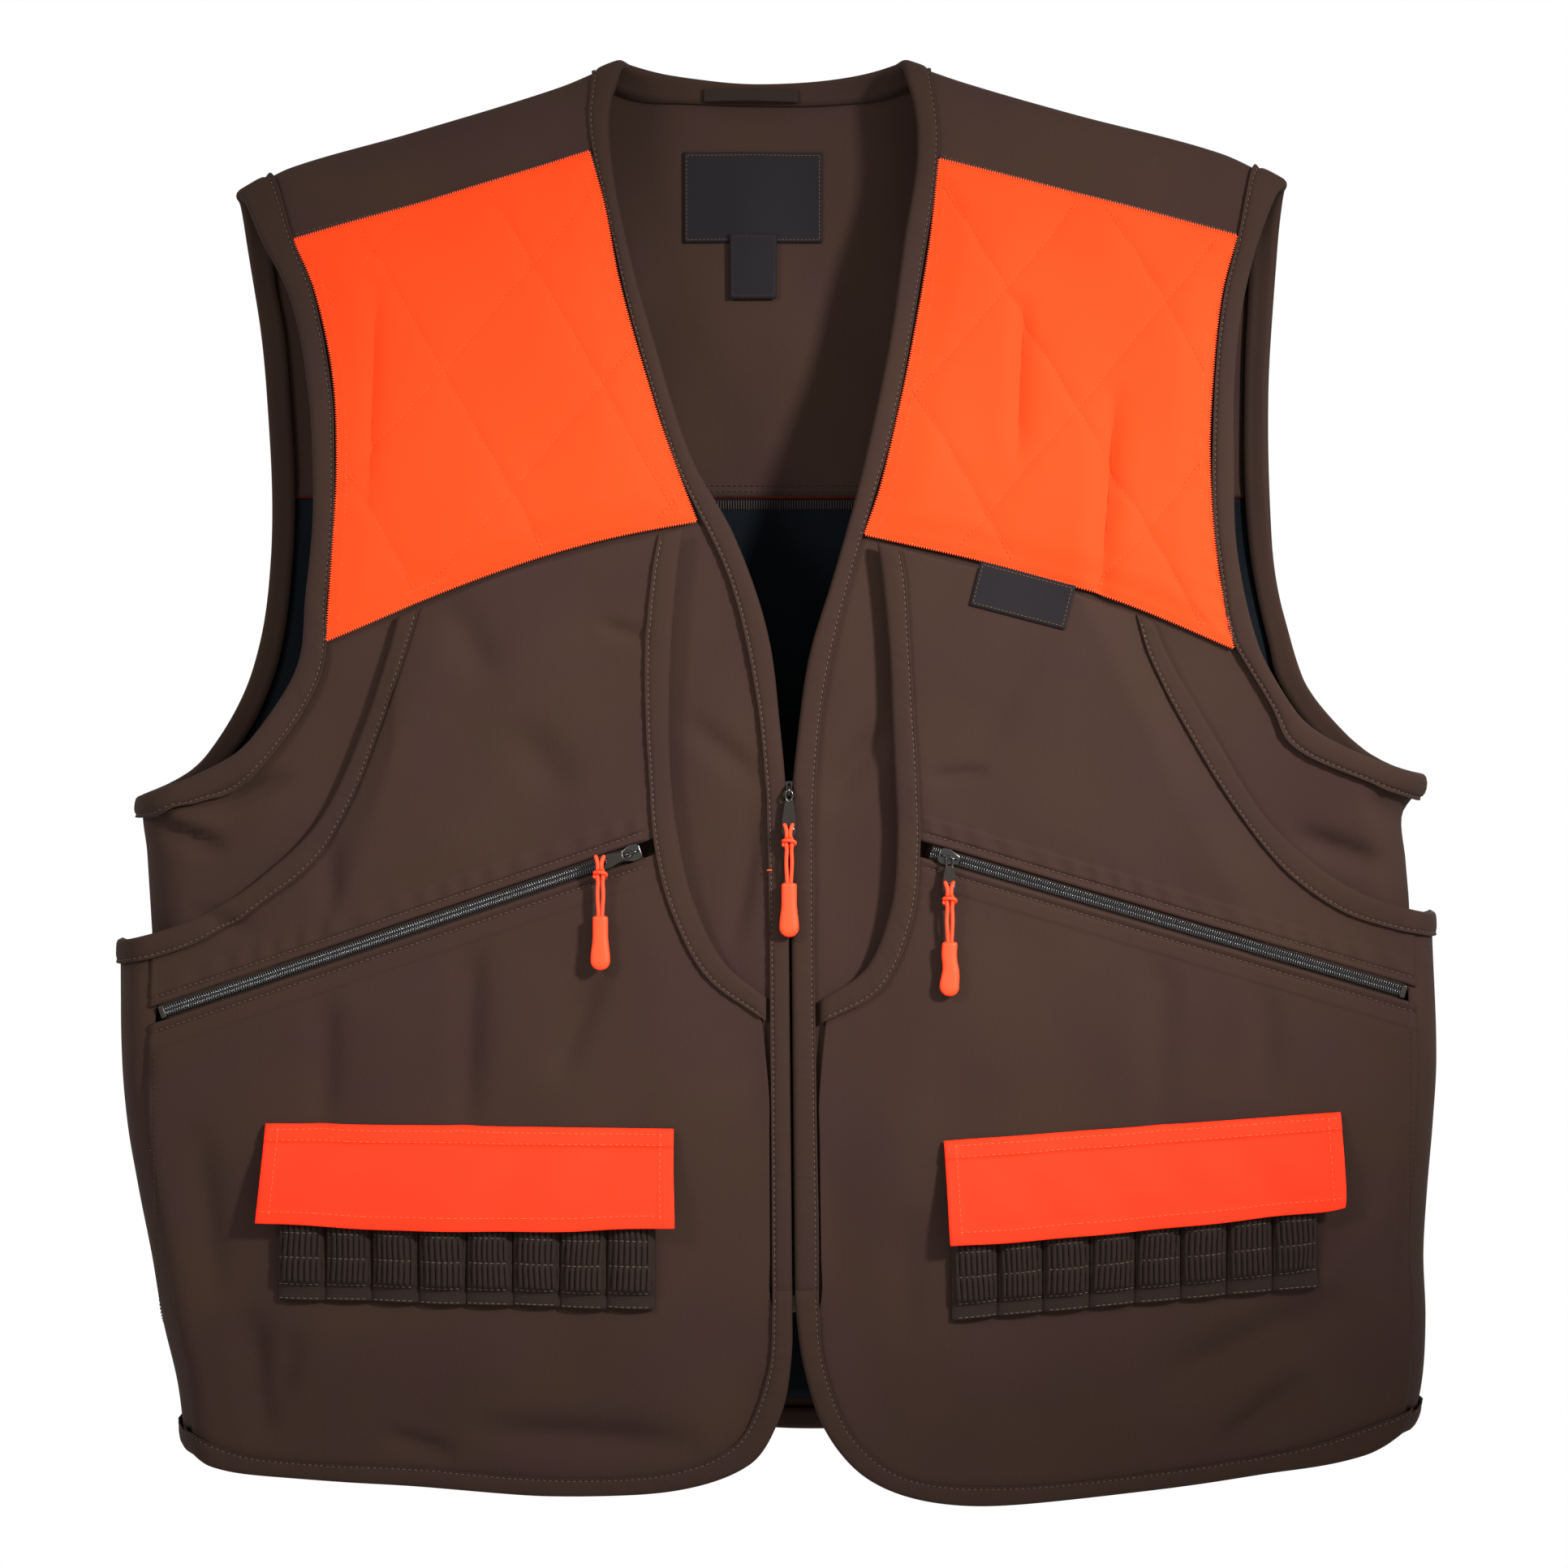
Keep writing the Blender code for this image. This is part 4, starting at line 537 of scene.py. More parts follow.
BODY = Form(
    "body_side", BODY_SIDE_ROUND,
    lambda face, x, z: plain_body_depth(face, x, z) + relief(face, x, z),
)
BAG = Form(
    "bag_side", BAG_SIDE_ROUND,
    lambda face, x, z: plain_body_depth(face, x, z) + pocket_depth(face, x, z)
    + relief(face, x, z) + straighten(face, x, z),
)


def rail(places):
    """A smooth line through places on a form, run from 0 to 1."""
    places = [(float(a), float(d)) for a, d in places]
    keys = [0.0]
    for (a, b), (c, d) in zip(places, places[1:]):
        keys.append(keys[-1] + math.hypot(c - a, d - b))
    across, down = (smooth(keys, [p[i] for p in places]) for i in (0, 1))
    return lambda t: (across(np.asarray(t) * keys[-1]), down(np.asarray(t) * keys[-1]))


def on(place_of, points):
    """A line on a form through points seen from the front or the back."""
    if any(abs(x) >= SIDE for x, z in points):
        return rail([place_of(x, z) for x, z in points])
    seen = rail(points)
    return lambda t: place_of(*seen(t))


def along_curve(points, count):
    """Evenly spread points of a smooth curve through a few."""
    height = smooth(*zip(*points))
    spread = np.linspace(points[0][0], points[-1][0], count)
    return [(x, float(height(x))) for x in spread]


def joined(first, second):
    """Two lines, one after the other."""
    def line(t):
        t = np.asarray(t)
        a, b = first(np.minimum(2 * t, 1)), second(np.maximum(2 * t - 1, 0))
        return tuple(np.where(t < 0.5, p, q) for p, q in zip(a, b))

    return line


def backwards(line):
    return lambda t: line(1 - np.asarray(t))


def stretch(line, start, end):
    return lambda t: line(start + (end - start) * np.asarray(t))


def between(first, second, share):
    """The line at a share of the way from one line to another."""
    def line(t):
        return tuple(a + (c - a) * share for a, c in zip(first(t), second(t)))

    return line


def filled(bottom, right, top, left):
    """The places of a four-edged panel: bottom and top run left to right, the sides upwards."""
    corners = bottom(0), bottom(1), top(0), top(1)

    def place(u, w):
        low_line, high_line, left_line, right_line = bottom(u), top(u), left(w), right(w)
        found = []
        for i in (0, 1):
            across = (1 - w) * low_line[i] + w * high_line[i]
            along = (1 - u) * left_line[i] + u * right_line[i]
            low = (1 - u) * corners[0][i] + u * corners[1][i]
            high = (1 - u) * corners[2][i] + u * corners[3][i]
            found.append(across + along - (1 - w) * low - w * high)
        return tuple(found)

    return place


# ---------------------------------------------------------------- materials


def nodes_of(name):
    made = bpy.data.materials.new(name)
    made.use_nodes = True
    return made, made.node_tree, made.node_tree.nodes["Principled BSDF"]


def feed(tree, target, inputs):
    """Links or sets the inputs of a node."""
    for key, value in inputs.items():
        if isinstance(value, bpy.types.NodeSocket):
            tree.links.new(value, target.inputs[key])
        else:
            target.inputs[key].default_value = value


def add_node(tree, kind, inputs, output=0, **settings):
    """A new node with its settings and inputs; gives back one of its outputs."""
    made = tree.nodes.new(f"ShaderNode{kind}")
    for name, value in settings.items():
        setattr(made, name, value)
    feed(tree, made, inputs)
    return made.outputs[output]


def maths(tree, operation, a, b):
    return add_node(tree, "Math", {0: a, 1: b}, operation=operation)


def noise(tree, vector, scale, detail=2.0):
    inputs = {"Scale": scale, "Detail": detail, "Vector": vector}
    return add_node(tree, "TexNoise", inputs, "Fac")


def mix(tree, share, first, second, **settings):
    inputs = {"A": first, "B": second, "Factor": share}
    return add_node(tree, "Mix", inputs, "Result", data_type="RGBA", **settings)


def uneven(tree, share, colour, spread):
    """A colour that varies between a darker and a lighter shade of itself."""
    dark = [c * (1 - spread) for c in colour]
    light = [min(c * (1 + spread), 1) for c in colour]
    return mix(tree, share, (*dark, 1), (*light, 1))


def bump(tree, height, strength, distance):
    inputs = {"Strength": strength, "Distance": distance, "Height": height}
    return add_node(tree, "Bump", inputs, "Normal")


def woven(name, colour, pitch=0.0009, spread=0.16, strength=0.35, roughness=0.9, sheen=0.015,
          twill=False, mottle=9.0, worn=None):
    """Cloth: two crossing sets of yarns, uneven yarn colour, broad soft mottling and a sheen."""
    made, tree, shader = nodes_of(name)
    vector = add_node(tree, "UVMap", {}, "UV", uv_map="cloth")
    inputs = {
        "Scale": 0.314 / pitch, "Distortion": 0.5, "Detail": 1.0, "Detail Scale": 2.0,
        "Vector": vector,
    }
    weft, warp = (
        add_node(tree, "TexWave", inputs, "Fac", bands_direction=way)
        for way in ("DIAGONAL" if twill else "X", "Y")
    )
    weave = maths(tree, "MULTIPLY", weft, warp)
    fine = noise(tree, vector, 1.1 / pitch, 3.0)
    broad = noise(tree, vector, mottle, 3.0)
    share = maths(
        tree, "ADD", maths(tree, "MULTIPLY", weave, 0.30), maths(tree, "MULTIPLY", fine, 0.42)
    )
    share = maths(tree, "ADD", share, maths(tree, "MULTIPLY", broad, 0.34))
    shade = uneven(tree, share, colour, spread)
    if worn:
        inputs = {"From Min": 0.40, "From Max": 0.62, "Value": noise(tree, vector, 13.0)}
        patches = add_node(tree, "MapRange", inputs, "Result")
        tone = mix(tree, patches, (1, 1, 1, 1), (*worn, 1))
        shade = mix(tree, 1.0, shade, tone, blend_type="MULTIPLY")
    height = maths(tree, "ADD", weave, maths(tree, "MULTIPLY", fine, 0.7))
    feed(tree, shader, {
        "Base Color": shade, "Normal": bump(tree, height, strength, pitch * 0.4),
        "Roughness": roughness, "Specular IOR Level": 0.06, "Sheen Weight": sheen,
        "Sheen Roughness": 0.45, "Sheen Tint": (*[min(c * 2.2 + 0.10, 1) for c in colour], 1),
    })
    return made


def smooth_stuff(name, colour, roughness, metallic=0.0, grain=600.0, strength=0.08, spread=0.12,
                 shine=0.2):
    """Metal, moulded rubber, plastic or thread, with a fine grain and uneven colour."""
    made, tree, shader = nodes_of(name)
    fine = noise(tree, add_node(tree, "TexCoord", {}, "Object"), grain, 3.0)
    feed(tree, shader, {
        "Base Color": uneven(tree, fine, colour, spread),
        "Normal": bump(tree, fine, strength, 0.0003), "Roughness": roughness, "Metallic": metallic,
        "Specular IOR Level": 0.5 if metallic else shine,
    })
    return made


CANVAS = (0.0255, 0.0139, 0.0096)
MATERIALS = {
    "canvas": woven("canvas_cloth", CANVAS, worn=(0.98, 0.92, 1.10)),
    "canvas_binding": woven(
        "canvas_bias_tape", [c * 0.92 for c in CANVAS], pitch=0.0008, worn=(0.97, 0.95, 1.10)
    ),
    "orange_quilt": woven(
        "orange_quilted_cloth", (0.95, 0.034, 0.0045), 0.0006, 0.05, 0.18, 0.7, 0.0, mottle=14.0
    ),
    "orange_cloth": woven(
        "orange_flap_cloth", (0.93, 0.025, 0.0070), 0.0006, 0.05, 0.18, 0.7, 0.0, mottle=14.0
    ),
    "lining": woven(
        "dark_lining_cloth", (0.0008, 0.0019, 0.0032), 0.0005, 0.2, 0.15, 0.7, 0.0, True
    ),
    "elastic": woven("elastic_webbing", (0.0160, 0.0098, 0.0078), 0.0011, 0.22, 0.4, 0.85, 0.02),
    "tape": woven("woven_tape", (0.0150, 0.0092, 0.0072), 0.0007, 0.2, 0.4, 0.8, 0.01, True),
    "label": woven("woven_label", (0.0080, 0.0066, 0.0082), 0.0005, 0.2, 0.25, 0.7, 0.0, True),
    "brown_thread": smooth_stuff("brown_thread", (0.066, 0.043, 0.032), 0.75),
    "dark_thread": smooth_stuff("dark_thread", (0.026, 0.016, 0.012), 0.75),
    "elastic_thread": smooth_stuff("elastic_thread", (0.058, 0.041, 0.030), 0.75),
    "orange_thread": smooth_stuff("orange_thread", (0.95, 0.060, 0.014), 0.6),
    "pale_thread": smooth_stuff("pale_orange_thread", (0.95, 0.085, 0.020), 0.6),
    "gold_thread": smooth_stuff("gold_thread", (0.090, 0.050, 0.014), 0.6),
    "coil": smooth_stuff("zip_coil", (0.0060, 0.0058, 0.0062), 0.22, 0.0, 1500, 0.1, shine=0.8),
    "gunmetal": smooth_stuff("gunmetal", (0.060, 0.057, 0.054), 0.22, 1.0, 900, 0.10),
    "tab_metal": smooth_stuff("satin_tab_metal", (0.042, 0.036, 0.032), 0.34, 1.0, 900, 0.14),
    "orange_cord": smooth_stuff("orange_cord", (0.93, 0.046, 0.011), 0.6, 0.0, 1800, 0.5),
    "orange_grip": smooth_stuff("orange_grip", (0.93, 0.048, 0.012), 0.42, 0.0, 700, 0.06, 0.05),
}

# ---------------------------------------------------------------- mesh making


def shown(name, data):
    """A new object in the scene."""
    obj = bpy.data.objects.new(name, data)
    bpy.context.scene.collection.objects.link(obj)
    return obj


def finish_piece(obj, material, body, nodes=()):
    """Gives a piece its look and the body that it moves with, and hides the CAD parts that it
    stands for.
    """
    obj.data.materials.append(MATERIALS[material])
    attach(obj, body)
    if nodes:
        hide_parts(*nodes)
    return obj


def mesh_piece(name, verts, faces, material, body="vest", nodes=()):
    """A smooth piece from points and faces."""
    mesh = bpy.data.meshes.new(name)
    mesh.from_pydata(verts.tolist(), [], faces)
    mesh.shade_smooth()
    return finish_piece(shown(name, mesh), material, body, nodes)


def lattice(across, up):
    """Even columns and rows of a grid, from 0 to 1, or rows as they are given."""
    us = np.linspace(0, 1, across + 1) if isinstance(across, int) else np.asarray(across)
    ws = np.linspace(0, 1, up + 1) if isinstance(up, int) else np.asarray(up)
    return np.meshgrid(us, ws, indexing="ij")


def grid_piece(name, points, uv, material, thickness, body="vest", nodes=()):
    """A sheet through a grid of points, with its thickness and its place on the cloth."""
    rows, columns = points.shape[:2]
    number = np.arange(rows * columns).reshape(rows, columns)
    faces = np.stack(
        [number[:-1, :-1], number[1:, :-1], number[1:, 1:], number[:-1, 1:]], -1
    ).reshape(-1, 4)
    obj = mesh_piece(name, points.reshape(-1, 3), faces.tolist(), material, body, nodes)
    layer = obj.data.uv_layers.new(name="cloth")
    flat = np.stack(uv, -1).reshape(-1, 2)[faces.reshape(-1)]
    layer.data.foreach_set("uv", flat.astype(np.float32).reshape(-1))
    shell = obj.modifiers.new("thickness", "SOLIDIFY")
    shell.thickness = thickness
    shell.offset = 0
    return obj


def declare_sheet(points):
    """Works out the width, length and area of the cut piece of a grid of cloth; nothing uses them.
    """
    du = np.linalg.norm(np.diff(points, axis=0), axis=-1)
    dw = np.linalg.norm(np.diff(points, axis=1), axis=-1)
    width, length = du.sum(0).max(), dw.sum(1).max()
    one = points[1:, 1:] - points[:-1, :-1]
    two = points[:-1, 1:] - points[1:, :-1]
    area = np.linalg.norm(np.cross(one, two), axis=-1).sum() / 2
    area = float(min(area, width * length))


def panel(name, form, place, cells, lift, material, nodes, thickness=CLOTH, held="hung"):
    """A cloth panel laid on a form, whose cut size is worked out unless it is padded."""
    u, w = lattice(*cells)
    across, down = place(u, w)
    seen = form.point(across, down)
    height = lift(u, w, seen[..., 0], seen[..., 2]) if callable(lift) else np.full(u.shape, lift)
    points = form.lifted((across, down), height)
    obj = grid_piece(name, points, (across, down), material, thickness, "vest", nodes)
    if held == "padded":
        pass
    else:
        declare_sheet(points)


THREADS = {}
DASH = np.array([
    (-0.5, 0, -0.3), (-0.3, -1, 0), (-0.3, 0, 1), (-0.3, 1, 0), (-0.3, 0, -1),
    (0.3, -1, 0), (0.3, 0, 1), (0.3, 1, 0), (0.3, 0, -1), (0.5, 0, -0.3),
])
DASH_FACES = np.array([
    (0, 2, 1, 1), (0, 3, 2, 2), (0, 4, 3, 3), (0, 1, 4, 4), (1, 2, 6, 5), (2, 3, 7, 6),
    (3, 4, 8, 7), (4, 1, 5, 8), (9, 5, 6, 6), (9, 6, 7, 7), (9, 7, 8, 8), (9, 8, 5, 5),
])


def dashes(centres, along, outward, length, radius, thread, body="vest"):
    """Short thread stitches, kept until all of one thread are made as one piece."""
    along = along / np.linalg.norm(along, axis=-1, keepdims=True)
    outward = outward - along * (outward * along).sum(-1, keepdims=True)
    outward /= np.linalg.norm(outward, axis=-1, keepdims=True)
    side = np.cross(outward, along)
    shape = DASH[None] * np.array([length, radius, radius])
    verts = (
        centres[:, None] + shape[..., :1] * along[:, None] + shape[..., 1:2] * side[:, None]
        + shape[..., 2:] * outward[:, None]
    )
    THREADS.setdefault((thread, body), []).append(verts.reshape(-1, 3))


def even(points, pitch, inset=0.0):
    """Places an even distance apart along a line of points, as shares of the line."""
    gaps = np.linalg.norm(np.diff(points, axis=0), axis=-1)
    run = np.concatenate([[0], np.cumsum(gaps)])
    count = max(int((run[-1] - 2 * inset) / pitch), 1)
    marks = inset + (np.arange(count) + 0.5) * (run[-1] - 2 * inset) / count
    return np.interp(marks, run, np.linspace(0, 1, len(points)))


def sew(form, line, lift=0.0006, pitch=0.0031, dash=0.0023, radius=0.00022, thread="brown_thread",
        across=False, inset=0.0):
    """A row of stitches along a line of places on a form."""
    t = np.linspace(0, 1, 500)
    marks = even(form.lifted(line(t)), pitch, inset)
    centres = form.lifted(line(marks), lift)
    after, before = np.minimum(marks + 0.0008, 1), np.maximum(marks - 0.0008, 0)
    along = form.lifted(line(after)) - form.lifted(line(before))
    outward = form.normal(*line(marks))
    if across:
        along = np.cross(outward, along)
    dashes(centres, along, outward, dash, radius, thread)


def make_threads():
    """All the stitches of each thread on each body, as one piece."""
    for (thread, body), rows in THREADS.items():
        verts = np.concatenate(rows)
        count = len(verts) // len(DASH)
        faces = (DASH_FACES[None] + len(DASH) * np.arange(count)[:, None, None]).reshape(-1, 4)
        tidy = [[a, b, c] if c == d else [a, b, c, d] for a, b, c, d in faces.tolist()]
        mesh_piece(f"{thread}_stitches_{body}", verts, tidy, thread, body)


def sweep(name, points, radius, material, body, nodes=(), sides=8, reference=(0, 1, 0), flat=1.0):
    """A round or flattened tube along points."""
    points = np.asarray(points, float)
    tangent = np.gradient(points, axis=0)
    tangent /= np.linalg.norm(tangent, axis=-1, keepdims=True)
    first = np.cross(tangent, np.asarray(reference, float))
    first /= np.linalg.norm(first, axis=-1, keepdims=True)
    second = np.cross(tangent, first)
    turn = 2 * math.pi * np.arange(sides) / sides
    radii = np.broadcast_to(radius, (len(points),))[:, None, None]
    across, up = np.cos(turn)[None, :, None], flat * np.sin(turn)[None, :, None]
    ring = across * first[:, None] + up * second[:, None]
    return mesh_piece(name, *tube(points[:, None] + radii * ring), material, body, nodes)


def tube(rings):
    """The points and faces of a closed tube through rings of points."""
    number = np.arange(rings.shape[0] * rings.shape[1]).reshape(rings.shape[:2])
    turned = np.roll(number, -1, axis=1)
    faces = np.stack([number[:-1], turned[:-1], turned[1:], number[1:]], -1).reshape(-1, 4)
    return rings.reshape(-1, 3), faces.tolist() + [number[0, ::-1].tolist(), number[-1].tolist()]


def frame_at(origin, along, outward):
    """A local frame whose x runs along a direction and whose z points out of the cloth."""
    x = along.normalized()
    z = (outward - x * outward.dot(x)).normalized()
    y = z.cross(x)
    return Matrix.Translation(origin) @ Matrix((x, y, z)).transposed().to_4x4()


def placed(matrix, points):
    """Local points of a frame, in the vest's frame."""
    rotation = np.array(matrix.to_3x3())
    return np.asarray(points, float) @ rotation.T + np.array(matrix.translation)


def solid(name, build, material, body, matrix, nodes=(), bevel=0.0, segments=2, smooth_angle=40):
    """A bmesh shape in a local frame, with rounded edges."""
    shape = bmesh.new()
    build(shape)
    bmesh.ops.recalc_face_normals(shape, faces=shape.faces)
    mesh = bpy.data.meshes.new(name)
    shape.to_mesh(mesh)
    shape.free()
    mesh.transform(matrix)
    mesh.shade_smooth()
    mesh.set_sharp_from_angle(angle=math.radians(smooth_angle))
    obj = finish_piece(shown(name, mesh), material, body, nodes)
    if bevel:
        edges = obj.modifiers.new("edges", "BEVEL")
        edges.width = bevel
        edges.segments = segments
        edges.limit_method = "ANGLE"


def block(*size):
    """Builds a box of a size round its own middle."""
    return lambda shape: bmesh.ops.create_cube(shape, size=1, matrix=Matrix.Diagonal((*size, 1)))


def plate(outline, low, high, hole=None):
    """Builds a flat plate between two heights, with an optional round or oval hole."""

    def ring(shape, points, height):
        return [shape.verts.new((x, y, height)) for x, y in points]

    def build(shape):
        under, over = ring(shape, outline, low), ring(shape, outline, high)
        following = [*range(1, len(outline)), 0]
        if hole is None:
            shape.faces.new(under[::-1])
            shape.faces.new(over)
        else:
            cx, cy, rx, ry = hole
            turns = [math.atan2(y - cy, x - cx) for x, y in outline]
            edge = [(cx + rx * math.cos(a), cy + ry * math.sin(a)) for a in turns]
            hole_under, hole_over = ring(shape, edge, low), ring(shape, edge, high)
            for i, j in enumerate(following):
                shape.faces.new([under[j], under[i], hole_under[i], hole_under[j]])
                shape.faces.new([over[i], over[j], hole_over[j], hole_over[i]])
                shape.faces.new([hole_under[i], hole_over[i], hole_over[j], hole_under[j]])
        for i, j in enumerate(following):
            shape.faces.new([under[i], under[j], over[j], over[i]])

    return build


# ---------------------------------------------------------------- the vest's cloth

# The rounded section of a bias tape: share of the way from the fold to the seam, and the leg.
TAPE_SECTION = [
    (1.0, -1), (0.7, -1), (0.4, -1), (0.14, -0.96), (0.05, -0.78), (0.0, -0.42), (-0.015, 0),
    (0.0, 0.42), (0.05, 0.78), (0.14, 0.97), (0.3, 1.05), (0.5, 1.08), (0.66, 1.05), (0.77, 0.96),
    (0.82, 0.82), (0.86, 0.70), (0.90, 0.80), (0.95, 0.92), (1.0, 0.98),
]
TAPE_GROOVE = 15  # the point of the section that the stitches pull down
TAPE_STEP = 0.0022
BODY_TAPE_END, BAG_TAPE_END = 0.9, 0.45  # how full the tape still is at its ends


def binding(name, form, free, seam, legs, nodes):
    """A tape folded over an edge and sewn through, with a pucker between its stitches."""
    t = np.linspace(0, 1, 200)
    reach = np.linalg.norm(np.diff(form.lifted(free(t)), axis=0), axis=-1).sum()
    count = max(int(reach / TAPE_STEP), 8)
    middle, half = sum(legs) / 2, (legs[1] - legs[0]) / 2
    u = np.linspace(0, 1, count + 1)
    (a, b), (c, d) = free(u), seam(u)
    rows, across, down = [], [], []
    phase = 2 * math.pi * u * reach
    slim = BAG_TAPE_END if form is BAG else BODY_TAPE_END
    full = slim + (1 - slim) * ramp(np.minimum(u, 1 - u) * reach, 0, 0.005)
    for share, leg in TAPE_SECTION:
        place = a + (c - a) * share, b + (d - b) * share
        pucker = 0.00016 * np.sin(phase / 0.0068) + 0.00010 * np.sin(phase / 0.0171 + 1)
        pucker = pucker * ramp(leg, 0.3, 0.9) * (0.4 + ramp(share, 0.3, 0.9))
        rows.append(form.lifted(place, middle + half * leg * full + pucker))
        across.append(u * reach)
        down.append(np.full_like(u, share * 0.0115 + (0.02 if leg < 0 else 0)))
    points = np.stack(rows, 1)
    obj = grid_piece(
        name, points, (np.stack(across, 1), np.stack(down, 1)), "canvas_binding", BINDING_CLOTH,
        "vest", nodes,
    )
    declare_sheet(points)
    groove_share, groove_leg = TAPE_SECTION[TAPE_GROOVE]
    sew(
        form, between(free, seam, groove_share), middle + half * groove_leg + 0.00062,
        dash=0.0021, radius=0.00030, inset=0.004,
    )


def side_fold_line(side, face):
    """The line down the body's side fold from the armhole, on the front, 1, or the back, -1."""
    free, seam = side["arm_front_free"][-1][1], side["arm_front_seam"][-1][1]
    heights = free + (seam - free) * CUT, -0.50, -0.62, side["side_bottom_z"]
    across = side["sign"] * (BODY.apex - 0.0004)
    return rail([(across, face * BODY.front(side["sign"] * SIDE, z)[1]) for z in heights])


PATCH_LIFT = 2 * LAYER + 0.0003
PATCH_RIM = 0.004  # the edge of a patch that the quilting stitches leave free
QUILT_PITCH = 0.070
QUILT_SLOPES = math.radians(50), math.radians(120)
QUILT_START = {-1: (-0.1640, -0.1535), 1: (0.1360, -0.1090)}


def quilt_lines(sign, x, z):
    """Distances from the nearest quilting line of each of the two sets."""
    x0, z0 = QUILT_START[sign]
    found = []
    for slope in QUILT_SLOPES:
        off = (-(x - x0) * math.sin(slope) + (z - z0) * math.cos(slope)) / QUILT_PITCH
        found.append((off - np.round(off)) * QUILT_PITCH)
    return found


def groove(off):
    """How much of a patch's padding is left at a distance from a quilting line."""
    return 1 - 0.34 * np.exp(-np.abs(off) / 0.0030) - 0.10 * np.exp(-((off / 0.012) ** 2))


def quilted(sign):
    """The lift of a padded patch: sewn edges, diamond grooves, and small creases along them."""

    def lift(u, w, x, z):
        edge = np.minimum(np.minimum(u, 1 - u) * 0.165, np.minimum(w, 1 - w) * 0.205)
        puff = 0.0024 * ramp(edge, 0, 0.022) + 0.0004 * ramp(edge, 0.001, 0.005)
        for off in quilt_lines(sign, x, z):
            puff *= groove(off)
            along = np.sin(2 * math.pi * (x * 31 + z * 57)) * np.exp(-np.abs(off) / 0.006)
            puff += 0.00012 * along * ramp(edge, 0.002, 0.012)
        puff += 0.00022 * np.sin(2 * math.pi * w * 0.205 / 0.013) * np.exp(-edge / 0.008)
        return PATCH_LIFT + puff

    return lift


def quilt_depth(x, z, sign):
    """The lift of the quilting stitches themselves, in the middle of a patch."""
    first, second = quilt_lines(sign, x, z)
    return 0.0028 * groove(first) * groove(second) + 0.00055


def quilting(side):
    """Stitches along the quilting lines inside a patch."""
    x0, z0 = QUILT_START[side["sign"]]
    for slope in QUILT_SLOPES:
        way = np.array([math.cos(slope), math.sin(slope)])
        side_way = np.array([-way[1], way[0]])
        for row in range(-4, 5):
            spot = np.array([x0, z0]) + side_way * row * QUILT_PITCH
            s = np.arange(-0.24, 0.24, 0.0030)
            x, z = spot[0] + way[0] * s, spot[1] + way[1] * s
            inside = patch_holds(side, x, z)
            x, z = x[inside], z[inside]
            if len(x) < 3:
                continue
            place = BODY.front(x, z)
            ahead = BODY.lifted(BODY.front(x + way[0] * 0.001, z + way[1] * 0.001))
            centres = BODY.lifted(place, PATCH_LIFT + quilt_depth(x, z, side["sign"]))
            dashes(
                centres, ahead - BODY.lifted(place), BODY.normal(*place), 0.0021, 0.00019,
                "orange_thread",
            )


def patch_holds(side, x, z):
    """Which points lie on a patch, clear of its edges."""
    patch = side["patch"]
    top = smooth(*zip(*sorted(patch["top"])))(x)
    bottom = smooth(*zip(*sorted(patch["bottom"])))(x)
    edges = []
    for name in ("outer", "inner"):
        heights, places = zip(*sorted((pz, px) for px, pz in patch[name]))
        edges.append(smooth(heights, places)(z))
    low, high = np.minimum(*edges) + PATCH_RIM, np.maximum(*edges) - PATCH_RIM
    return (z < top - PATCH_RIM) & (z > bottom + PATCH_RIM) & (x > low) & (x < high)


